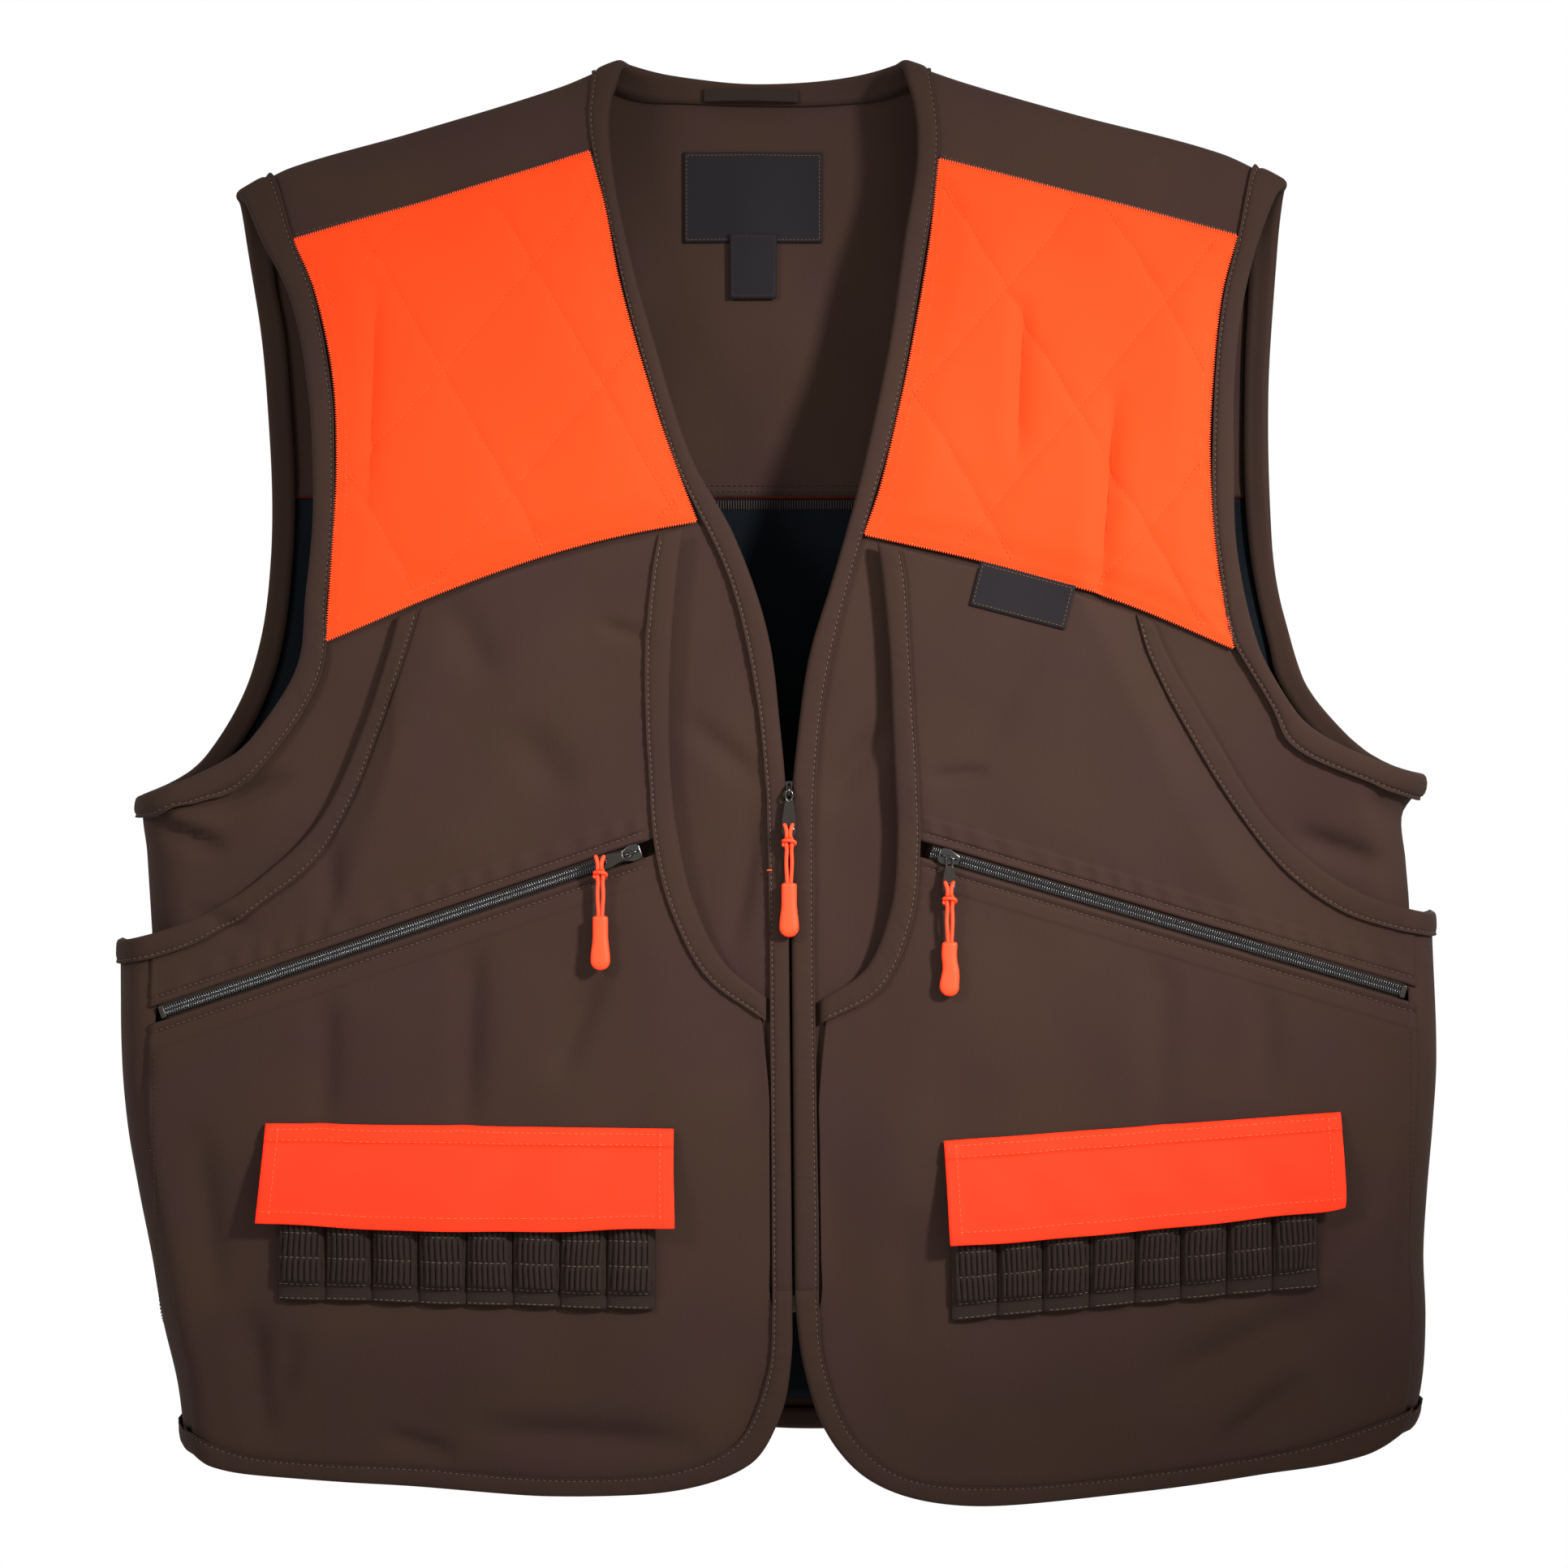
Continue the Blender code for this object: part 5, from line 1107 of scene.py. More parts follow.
def make_body(side_name, side):
    """One front, its yoke, its quilted patch and its edge bindings."""
    sign = side["sign"]
    free = on(BODY.front, side["front_free"])
    seam = on(BODY.front, side["front_seam"])
    arm_free = on(BODY.front, side["arm_front_free"])
    arm_seam = on(BODY.front, side["arm_front_seam"])
    inner = stretch(between(free, seam, 0.35), 0.085, 0.985)
    outer_top = stretch(between(arm_free, arm_seam, CUT), 0.125, 0.995)
    outer = joined(outer_top, side_fold_line(side, 1))
    low_row = [BODY.front(sign * x, FRONT_PANEL_FOOT) for x in (0.20, 0.09)]
    bottom = rail([outer(1), *low_row, inner(1)])
    middle = [BODY.front(x, z) for x, z in side["panel_top"][1:-1]]
    top = rail([outer(0), *middle, inner(0)])
    panel(
        f"front_cloth_{side_name}", BODY,
        filled(bottom, backwards(inner), top, backwards(outer)), (96, 170), 0, "canvas",
        [f"front_panel_{side_name}"],
    )

    yoke_front = on(BODY.front, side["yoke_front"])
    yoke_back = on(BODY.back, side["yoke_back"])
    neck_x = side["front_seam"][0][0] - sign * 0.0050
    neck_edge = rail([
        yoke_back(1), BODY.back(neck_x, -0.008), (BODY.front(neck_x, 0.03)[0], 0),
        BODY.front(neck_x, -0.008), yoke_front(1),
    ])
    arm_x = side["arm_front_seam"][0][0] + sign * 0.0060
    arm_edge = rail([
        yoke_back(0), BODY.back(arm_x, -0.064), (BODY.front(arm_x, 0)[0], 0),
        BODY.front(arm_x, -0.064), yoke_front(0),
    ])
    yoke = filled(yoke_back, neck_edge, yoke_front, arm_edge)
    panel(
        f"yoke_cloth_{side_name}", BODY, yoke, (64, 56), LAYER, "canvas",
        [f"shoulder_yoke_{side_name}"],
    )
    sew(BODY, between(yoke_front, yoke_back, 0.07), LAYER + 0.0006)
    sew(BODY, between(yoke_back, yoke_front, 0.06), LAYER + 0.0006)

    patch = {edge: on(BODY.front, points) for edge, points in side["patch"].items()}
    cover = filled(
        patch["bottom"], backwards(patch["inner"]), patch["top"], backwards(patch["outer"])
    )
    panel(
        f"quilted_cover_{side_name}", BODY, cover, (150, 190), quilted(sign), "orange_quilt",
        [f"quilted_patch_{side_name}", f"patch_batting_{side_name}"], 0.0008, "padded",
    )
    quilting(side)
    for line in patch.values():
        sew(
            BODY, line, PATCH_LIFT + 0.0006, pitch=0.0013, dash=0.0019, radius=0.00026,
            thread="pale_thread", across=True,
        )
    inner_row = [on(BODY.front, points) for points in side["patch"].values()]
    for line, other in ((0, 1), (1, 0), (2, 3), (3, 2)):
        row = between(inner_row[line], inner_row[other], 0.030)
        sew(BODY, row, PATCH_LIFT + 0.0009, thread="orange_thread", inset=0.006)

    free_tape, seam_tape = [over_shoulder(line) for line in (free, seam)]
    binding(
        f"front_edge_tape_{side_name}", BODY, free_tape, seam_tape, BODY_BINDING,
        [f"front_edge_binding_{side_name}"],
    )
    loop_free = joined(arm_free, backwards(on(BODY.round_side, side["arm_back_free"])))
    loop_seam = joined(arm_seam, backwards(on(BODY.round_side, side["arm_back_seam"])))
    binding(
        f"armhole_tape_{side_name}", BODY, loop_free, loop_seam, ARMHOLE_BINDING,
        [f"armhole_binding_{side_name}"],
    )


def over_shoulder(line, both=False):
    """The line, carried on just past the top of the shoulder at its start or at both ends."""
    rest = [line(t) for t in np.linspace(0, 1, 60)]
    ends = [rest[0], rest[-1]] if both else [rest[0]]
    past = [(across, math.copysign(0.0015, -down)) for across, down in ends]
    return rail([past[0], *rest, *past[1:]])


def share_at(line, z):
    """How far along a falling line a height is reached."""
    low, high = 0.0, 1.0
    for _ in range(40):
        middle = (low + high) / 2
        if BODY.point(*line(middle))[2] > z:
            low = middle
        else:
            high = middle
    return low


def make_back():
    """The upper back, its lining below, the outer back cloth and the neck binding."""
    neck_free = on(BODY.back, NECK_FREE)
    neck_seam = on(BODY.back, NECK_SEAM)
    arm = {}
    for side in (RIGHT, LEFT):
        free = on(BODY.back, side["arm_back_free"])
        seam = on(BODY.back, side["arm_back_seam"])
        arm[side["sign"]] = between(free, seam, CUT)

    def tied(shares, row):
        """A row of the back's points from a share of one armhole to one of the other."""
        ends = [BODY.point(*arm[sign](shares[sign])) for sign in (-1, 1)]
        return on(BODY.back, [(ends[0][0], ends[0][2]), *row, (ends[1][0], ends[1][2])])

    def across_arms(bottom, low_shares, top, high_shares):
        """The places between two lines across the back and the armholes at their ends."""
        left, right = (stretch(arm[s], high_shares[s], low_shares[s]) for s in (-1, 1))
        return filled(bottom, backwards(right), top, backwards(left))

    yoke_shares = {-1: 0.085, 1: 0.085}
    top = tied(yoke_shares, UPPER_BACK_TOP)
    above = {sign: share_at(arm[sign], WAIST_SEAM_Z) for sign in (-1, 1)}
    below = {sign: share_at(arm[sign], WAIST_SEAM_Z - SEAM_GAP) for sign in (-1, 1)}

    seam_line = tied(above, [(-0.10, WAIST_SEAM_Z), (0.14, WAIST_SEAM_Z)])

    def seam_roll(u, w, x, z):
        return -0.0007 * np.exp(-(((z - WAIST_SEAM_Z) / 0.004) ** 2))

    panel(
        "upper_back_cloth", BODY, across_arms(seam_line, above, top, yoke_shares),
        (110, 70), seam_roll, "canvas", ["upper_back_panel"],
    )

    def beside_seam(rise):
        return on(BODY.back, [(x, WAIST_SEAM_Z + rise) for x in (-0.22, -0.10, 0.02, 0.14, 0.25)])

    for rise in (0.0030, 0.0062):
        sew(BODY, beside_seam(rise), -0.0014, thread="dark_thread")
    sew(
        BODY, beside_seam(-0.0045), -0.0008, pitch=0.0014, dash=0.0062, radius=0.00035,
        thread="dark_thread", across=True,
    )

    low = {
        side["sign"]: joined(
            stretch(arm[side["sign"]], below[side["sign"]], 0.985), side_fold_line(side, -1)
        )
        for side in (RIGHT, LEFT)
    }
    gap_z = WAIST_SEAM_Z - SEAM_GAP
    lining_top = tied(below, [(-0.10, gap_z), (0.14, gap_z)])
    hem_row = along_curve([(-0.25, BACK_HEM_Z + 0.012), (0.29, BACK_HEM_Z + 0.012)], 9)
    hem = rail([low[-1](1), *[BODY.back(x, z) for x, z in hem_row], low[1](1)])
    panel(
        "back_lining_cloth", BODY, filled(hem, backwards(low[1]), lining_top, backwards(low[-1])),
        (100, 120), 0, "lining", ["back_lining"],
    )

    outer_high = {-1: 0.22, 1: 0.22}
    outer_low = {s: share_at(arm[s], -0.345) for s in (1, -1)}
    top_row = along_curve([(-0.20, -0.090), (0.008, -0.050), (0.22, -0.088)], 7)
    outer_top = rail([arm[-1](0.22), *[BODY.back(x, z) for x, z in top_row], arm[1](0.22)])
    low_row = along_curve([(-0.22, -0.430), (-0.12, -0.470), (0.15, -0.470), (0.26, -0.430)], 9)
    outer_bottom = rail([
        arm[-1](outer_low[-1]), *[BODY.back(x, z) for x, z in low_row], arm[1](outer_low[1]),
    ])
    panel(
        "outer_back_cloth", BODY, across_arms(outer_bottom, outer_low, outer_top, outer_high),
        (110, 90), LAYER, "orange_cloth", ["outer_back_panel"],
    )
    for share in (0.012, 0.030):
        sew(
            BODY, between(outer_top, outer_bottom, share), LAYER + 0.0006, thread="orange_thread",
            inset=0.02,
        )
    binding(
        "back_neck_tape", BODY, over_shoulder(neck_free, True), over_shoulder(neck_seam, True),
        BODY_BINDING, ["back_neck_binding"],
    )


def zip_offset(side, x, z):
    """The distance of a point above a side's zip line, and the distance along it."""
    (xi, zi), (xo, zo) = side["zip_inner"], side["zip_outer"]
    slope = math.atan2(zo - zi, abs(xo - xi))
    line, share = zip_height(side, x)
    return (z - line) * math.cos(slope), share * math.hypot(xo - xi, zo - zi)


def slot_lift(side):
    """The folded edges along a zip's slot, and the sewn band of its tape above and below."""

    def lift(u, w, x, z):
        off, along = zip_offset(side, x, z)
        inside = ramp(along, -0.004, 0.004) * (1 - ramp(along, 0.271, 0.280))
        gap = np.abs(off) - SLOT_WIDTH / 2
        roll = 0.0010 * np.exp(-((gap - 0.0012) / 0.0016) ** 2)
        roll -= 0.0014 * (1 - ramp(gap, -0.0002, 0.0012))
        seam = -0.0007 * np.exp(-((gap - 0.0046) / 0.0009) ** 2)
        pucker = 0.00055 * np.sin(2 * math.pi * along / 0.0150 + 1.6 * np.sin(along * 61))
        pucker = pucker * np.exp(-((gap - 0.0085) / 0.0050) ** 2) * (off > 0)
        band = 0.00045 * ramp(gap, 0.0045, 0.0058) * (1 - ramp(gap, 0.0120, 0.0140))
        return (roll + seam + pucker + band) * inside

    return lift


def make_pockets(side_name, side):
    """The pocket layer above and below its zip, its bindings and the back of the pocket."""
    bib_free = on(BAG.front, side["bib_free"])
    bib_seam = on(BAG.front, side["bib_seam"])
    mouth_free = on(BAG.front, side["mouth_free"])
    mouth_seam = on(BAG.front, side["mouth_seam"])
    bib = between(bib_free, bib_seam, CUT)
    mouth = between(mouth_free, mouth_seam, CUT)
    (xi, zi), (xo, zo) = side["zip_inner"], side["zip_outer"]
    half_slot = SLOT_WIDTH / 2 / math.cos(math.atan2(zi - zo, abs(xo - xi)))
    seam_x = side["side_seam_x"]
    slope = (zo - zi) / (xo - xi)

    def zip_line(x, lift):
        return BAG.front(x, zi + slope * (x - xi) + lift)

    shares = np.arange(400) / 400

    def mouth_meets(lift):
        spots = BAG.point(*mouth(shares))
        miss = np.abs(spots[:, 2] - (zi + slope * (spots[:, 0] - xi) + lift))
        return shares[miss.argmin()]

    def slot_edge(lift):
        return [zip_line(seam_x + (xi - seam_x) * i / 12, lift) for i in range(12)]

    over, under = mouth_meets(half_slot), mouth_meets(-half_slot)
    bib_end = shares[np.abs(BAG.point(*bib(shares))[:, 0] - seam_x).argmin()]
    above = rail([*slot_edge(half_slot), mouth(over)])
    (xb, zb), (xm, zm) = side["patch"]["bottom"][1], side["patch"]["bottom"][2]
    top = rail([bib(0), BAG.front((xb + xm) / 2, (zb + zm) / 2 - 0.003), mouth(0)])
    seam_rise = rail([bib(bib_end), zip_line(seam_x, half_slot)])

    def outer_line(t):
        t = np.asarray(t)
        a, b = bib(np.minimum(t / 0.8, 1) * bib_end), seam_rise(np.maximum((t - 0.8) / 0.2, 0))
        return tuple(np.where(t < 0.8, p, q) for p, q in zip(a, b))

    panel(
        f"pocket_upper_cloth_{side_name}", BAG,
        filled(above, backwards(stretch(mouth, 0, over)), top, backwards(outer_line)),
        (150, np.concatenate([np.linspace(0, 0.16, 40)[:-1], np.linspace(0.16, 1, 90)])),
        slot_lift(side), "canvas", [f"pocket_upper_panel_{side_name}"], POCKET_CLOTH,
    )

    front_free = on(BODY.front, side["front_free"])
    front_seam = on(BODY.front, side["front_seam"])
    edge_points = []
    for i in range(7):
        spot = BODY.point(*between(front_free, front_seam, 1.12)(0.805 + 0.19 * i / 6))
        edge_points.append(BAG.front(spot[0], spot[2]))
    below = rail([*slot_edge(-half_slot), mouth(under)])
    lower_mouth = stretch(mouth, under, 0.985)
    hem_free = on(BAG.front, side["hem_free"])
    hem_seam = on(BAG.front, side["hem_seam"])
    hem = between(hem_free, hem_seam, CUT)
    low_x, low_z = side["bag_side"][-3]
    side_bottom = [BAG.front(seam_x, zo - 0.07), BAG.front(low_x - side["sign"] * 0.012, low_z)]
    side_line = rail([zip_line(seam_x, -half_slot), *side_bottom, hem(0.985)])
    top_line = joined(below, lower_mouth)
    bottom_line = backwards(stretch(hem, 0.05, 0.985))
    right_line = rail([bottom_line(1), *reversed(edge_points[1:]), top_line(1)])
    panel(
        f"pocket_lower_cloth_{side_name}", BAG,
        filled(bottom_line, right_line, top_line, backwards(side_line)),
        (180, np.concatenate([np.linspace(0, 0.90, 120)[:-1], np.linspace(0.90, 1, 40)])),
        slot_lift(side), "canvas", [f"pocket_lower_panel_{side_name}"], POCKET_CLOTH,
    )
    hem_tape = []
    for row in (side["hem_free"], side["hem_seam"]):
        x, z = row[0]
        hem_tape.append(on(BAG.front, [(x, z + 0.007), *row]))
    for name, edge, stitched in (
        ("pocket_side", bib_free, bib_seam),
        ("pocket_mouth", mouth_free, mouth_seam),
        ("hem", *hem_tape),
    ):
        binding(
            f"{name}_tape_{side_name}", BAG, edge, stitched, BAG_BINDING,
            [f"{name}_binding_{side_name}"],
        )
    for off in (0.0046, -0.0046):
        row = [
            (x, zi + slope * (x - xi) + (half_slot + abs(off)) * math.copysign(1, off))
            for x in np.linspace(xi, xo, 12)
        ]
        sew(BAG, on(BAG.front, row), 0.0004, thread="brown_thread")
    row = [(seam_x - side["sign"] * 0.0030, z) for z in np.linspace(zo - 0.012, low_z - 0.004, 8)]
    sew(BAG, on(BAG.front, row), 0.0006, thread="dark_thread")

    def bag_place(u, w):
        x = xi + (seam_x - xi) * (0.07 + 0.80 * u)
        top_z = zi + slope * (x - xi) - TAPE_WIDTH / 2 - 0.002
        return BAG.front(x, top_z - 0.105 * w)

    panel(
        f"pocket_bag_cloth_{side_name}", BAG, bag_place, (40, 24), -0.0022, "lining",
        [f"pocket_bag_{side_name}"], 0.0006,
    )


def bag_cut_height(side, x):
    """The height of the pocket layer's upper edge at a place."""
    free = on(BAG.front, side["bib_free"])
    seam = on(BAG.front, side["bib_seam"])
    spots = BAG.point(*between(free, seam, CUT)(np.arange(401) / 400))
    return spots[np.abs(spots[:, 0] - x).argmin(), 2]


def make_game_bag():
    """The bag's outer cloth, from one front side seam round the back to the other."""
    rows = {}
    for side in (RIGHT, LEFT):
        seam_x = side["side_seam_x"]
        top_z = bag_cut_height(side, seam_x)
        low = BAG.point(*on(BAG.front, side["hem_free"])(0.995))
        sign = side["sign"]
        rows[sign] = rail([
            BAG.seam_front(seam_x - sign * 0.0060, top_z),
            BAG.seam_front(seam_x - sign * 0.0060, (top_z + low[2]) / 2),
            BAG.seam_front(low[0] - sign * 0.0060, low[2] + 0.010),
        ])

    def side_fold(sign, z):
        return sign * BAG.apex, -BAG.front(sign * SIDE, z)[1]

    def across_back(ends, middle):
        row = along_curve([(-0.29, ends[0]), (-0.20, middle), (0.24, middle), (0.32, ends[1])], 11)
        return [side_fold(-1, ends[0]), *[BAG.back(x, z) for x, z in row], side_fold(1, ends[1])]

    top = rail([rows[-1](0), *across_back((-0.4614, -0.4464), BAG_TOP_Z - 0.0054), rows[1](0)])
    bottom = rail([rows[-1](1), *across_back((-0.7180, -0.7070), BACK_HEM_Z + 0.002), rows[1](1)])

    def tucked(u, w, x, z):
        return -0.0013 * (1 - ramp(np.minimum(u, 1 - u) * 0.86, 0.006, 0.016))

    ends = np.linspace(0, 0.13, 36)
    columns = np.concatenate([ends[:-1], np.linspace(0.13, 0.87, 120), (1 - ends[:-1])[::-1]])
    panel(
        "game_bag_cloth", BAG, filled(bottom, backwards(rows[1]), top, backwards(rows[-1])),
        (columns, 96), tucked, "canvas", ["game_bag_panel"], POCKET_CLOTH,
    )
    def tape(name, node, *rows):
        edges = [stretch(rail(row), 0.004, 0.996) for row in rows]
        binding(name, BAG, *edges, BAG_BINDING, [node])

    tape(
        "game_bag_tape", "game_bag_binding", across_back((-0.456, -0.441), BAG_TOP_Z),
        across_back((-0.468, -0.453), BAG_TOP_Z - 0.012),
    )
    tape(
        "back_hem_tape", "back_hem_binding",
        [
            BAG.seam_front(-0.2910, -0.7285), *across_back((-0.7225, -0.7115), BACK_HEM_Z - 0.003),
            BAG.seam_front(0.3430, -0.7170),
        ],
        [
            BAG.seam_front(-0.2910, -0.7170), *across_back((-0.7125, -0.7020), BACK_HEM_Z + 0.008),
            BAG.seam_front(0.3430, -0.7060),
        ],
    )


# ---------------------------------------------------------------- zips and pulls


def strip(name, matrix, low, high, height, thickness, nodes):
    """A flat woven strip in a local frame, between two corners."""
    u, w = lattice(max(int((high[0] - low[0]) / 0.004), 2), 8)
    x, y = low[0] + (high[0] - low[0]) * u, low[1] + (high[1] - low[1]) * w
    points = placed(matrix, np.stack([x, y, np.full_like(x, height)], -1))
    obj = grid_piece(name, points, (x, y), "tape", thickness, "vest", nodes)
    declare_sheet(points)


COIL_PITCH = 0.00128
COIL_TURN_STEPS = 9


def coil(name, matrix, start, length, sign, height, nodes):
    """One half of a zip's coil: a flattened helix along the edge of its tape."""
    turns = int(length / COIL_PITCH)
    s = np.arange(turns * COIL_TURN_STEPS + 1) / COIL_TURN_STEPS
    angle = 2 * math.pi * s
    x = start + s * COIL_PITCH + (0.5 * COIL_PITCH if sign > 0 else 0)
    y = sign * (0.00135 - 0.00160 * np.cos(angle))
    z = height + 0.00062 * np.sin(angle)
    points = placed(matrix, np.stack([x, y, z], -1))
    sweep(name, points, 0.00033, "coil", "vest", nodes, sides=5, reference=(0, 1, 0.01))


def make_slider(name, matrix, neck, body, nodes):
    """A shield-shaped slider plate, a crown bridge over it and its rivet."""
    length, width, thickness = SLIDER
    a, b = length / 2, width / 2
    shape = (-1, 0.62), (-0.75, 0.92), (-0.1, 1), (0.6, 0.66), (1, 0.44)
    near = [(a * x, b * y) for x, y in shape]
    shield = [(x, -y) for x, y in near] + near[::-1]
    solid(
        f"{name}_plate", plate(shield, 0.0002, thickness), "gunmetal", body, matrix, nodes,
        bevel=0.00045, segments=3,
    )
    s = np.linspace(0, math.pi, 15)
    rise = CROWN_RADIUS * 0.75 + neck
    arch = np.stack([
        -0.0036 * np.cos(s), np.zeros_like(s), thickness + rise * np.sin(s) ** 0.55 + 0.0004
    ], -1)
    sweep(
        f"{name}_crown", placed(matrix, arch), 0.0011, "gunmetal", body, (), sides=10,
        reference=matrix.to_3x3() @ Vector((0, 1, 0)), flat=0.62,
    )
    dome = Matrix.Translation((-a * 0.1, 0, thickness))

    def rivet(shape):
        bmesh.ops.create_uvsphere(shape, u_segments=16, v_segments=10, radius=0.0006)

    solid(f"{name}_rivet", rivet, "tab_metal", body, matrix @ dome, smooth_angle=180)


def make_tab(name, matrix, length, body, nodes):
    """A tapered pull tab with a rounded end and a hole, hung on its slider's crown."""
    half = TAB_WIDTH / 2
    turns = [math.pi / 2 + math.pi * i / 12 for i in range(13)]
    centre = -length + half
    outline = [(0.0002, -half * 0.55), (0.0008, -half * 0.3)]
    outline += [(0.0008, half * 0.3), (0.0002, half * 0.55), (-length * 0.45, half * 0.92)]
    outline += [(centre + half * math.cos(a), half * math.sin(a)) for a in turns]
    outline += [(-length * 0.45, -half * 0.92)]
    hole = (centre, 0, half * 0.56, half * 0.56)
    solid(
        name, plate(outline, -0.0006, 0.0006, hole), "tab_metal", body, matrix, nodes,
        bevel=0.00028, segments=2,
    )
    ring = []
    for i in range(25):
        a = 2 * math.pi * i / 24
        ring.append((centre + half * 0.60 * math.cos(a), half * 0.60 * math.sin(a), 0))
    sweep(
        f"{name}_rim", placed(matrix, ring), 0.00075, "gunmetal", body, (), sides=8,
        reference=matrix.to_3x3() @ Vector((0, 0, 1)),
    )


CORD = 0.0020  # diameter of each strand
STRAND = 0.00118  # distance of a strand from the middle of the pair


def make_pull(prefix, matrix, cord_length, grip_length, body, nodes, wave=0.0):
    """The knot in the tab's hole, the cord's two strands, and the moulded grip on their ends."""
    cord_node, grip_node = nodes
    top, foot = -0.0050, -cord_length - CORD_EYE
    strand = [(top, STRAND, 0), (top - 0.004, STRAND * 1.25, 0.0003)]
    for x in np.linspace(-0.012, foot, 6):
        strand.append((x, STRAND * 1.06 + 0.00025 * math.sin(x * 260), 0))
    turn_x, turn_radius = foot - 0.0075, 0.0028
    strand += [(foot - 0.003, 0.0018, 0), (foot - 0.0055, 0.0025, 0)]
    u_turn = [
        (turn_x - turn_radius * math.sin(a), turn_radius * math.cos(a), 0)
        for a in [math.pi * i / 8 for i in range(9)]
    ]
    other = [(x, -y, z) for x, y, z in reversed(strand)]
    points = placed(matrix, strand + u_turn + other)
    curve = bpy.data.curves.new(f"{prefix}_strands", "CURVE")
    curve.dimensions = "3D"
    curve.bevel_depth = CORD / 2
    curve.bevel_resolution = 4
    curve.use_fill_caps = True
    spline = curve.splines.new("POLY")
    fine = resampled(points, 90)
    spline.points.add(len(fine) - 1)
    spline.points.foreach_set("co", np.hstack([fine, np.ones((len(fine), 1))]).reshape(-1))
    spline.use_smooth = True
    cord = finish_piece(shown(curve.name, curve), "orange_cord", body, [cord_node])

    turn = np.linspace(0, 1, 60)
    wrap = 2 * math.pi * (1.15 * turn - 0.1)
    knot = np.stack([
        -0.0068 - 0.0022 * turn + 0.0010 * np.sin(wrap), 0.0030 * np.cos(wrap),
        0.0021 * np.sin(wrap),
    ], -1)
    tied = sweep(
        f"{prefix}_knot", placed(matrix, knot), CORD / 2, "orange_cord", body, (), sides=10,
        reference=(0.1, 1, 0.02),
    )
    for eye_name, sign in (("a", -1), ("b", 1)):
        a = np.linspace(-0.62 * math.pi, 0.62 * math.pi, 26)
        eye = np.stack([
            -0.0034 + 0.0050 * np.cos(a), sign * (0.0015 + 0.0006 * np.cos(2 * a)) + 0.0003,
            0.0006 + 0.0019 * np.sin(a),
        ], -1)
        sweep(
            f"{prefix}_eye_{eye_name}", placed(matrix, eye), CORD / 2, "orange_cord", body, (),
            sides=10, reference=(0.1, 1, 0.02),
        )

    rows, sides = 44, 28
    s = np.linspace(0, 1, rows)[:, None]
    a = 2 * math.pi * np.arange(sides)[None] / sides
    s = np.where(s > 0.5, 1 - 0.5 * (2 - 2 * s) ** 1.4, s)
    cap = np.clip(np.minimum(s / 0.035, (1 - s) / 0.175), 0, 1)
    cap = np.sqrt(1 - (1 - cap) ** 2)
    low_end = np.maximum(cap, 0.04)
    wide = 0.0040 + 0.0011 * ramp(s, 0.35, 0.80)
    wide = wide * np.where(s > 0.5, low_end, 0.72 + 0.28 * cap)
    thick = 0.0027 * np.where(s > 0.5, low_end, 0.60 + 0.40 * cap)
    power = 0.78
    y = wide * np.sign(np.cos(a)) * np.abs(np.cos(a)) ** power
    y = y + wave * np.sin(2 * math.pi * s * 1.4) * np.sin(math.pi * s)
    z = thick * np.sign(np.sin(a)) * np.abs(np.sin(a)) ** power
    x = foot + 0.0006 - grip_length * s + 0 * a
    shell = placed(matrix, np.stack([x, y, z + 0 * x], -1)).reshape(-1, 3)
    number = np.arange(rows * sides).reshape(rows, sides)
    turned = np.roll(number, -1, axis=1)
    faces = np.stack([number[:-1], number[1:], turned[1:], turned[:-1]], -1).reshape(-1, 4).tolist()
    faces += [number[0].tolist(), number[-1, ::-1].tolist()]
    grip = mesh_piece(f"{prefix}_grip_moulded", shell, faces, "orange_grip", body, [grip_node])


def resampled(points, count):
    """A smooth line through points, at even steps."""
    points = np.asarray(points, float)
    run = np.concatenate([[0], np.cumsum(np.linalg.norm(np.diff(points, axis=0), axis=-1))])
    marks = np.linspace(0, run[-1], count)
    return np.stack([smooth(run, points[:, i])(marks) for i in range(3)], -1)


DOWN = Vector((0, 0, -1))


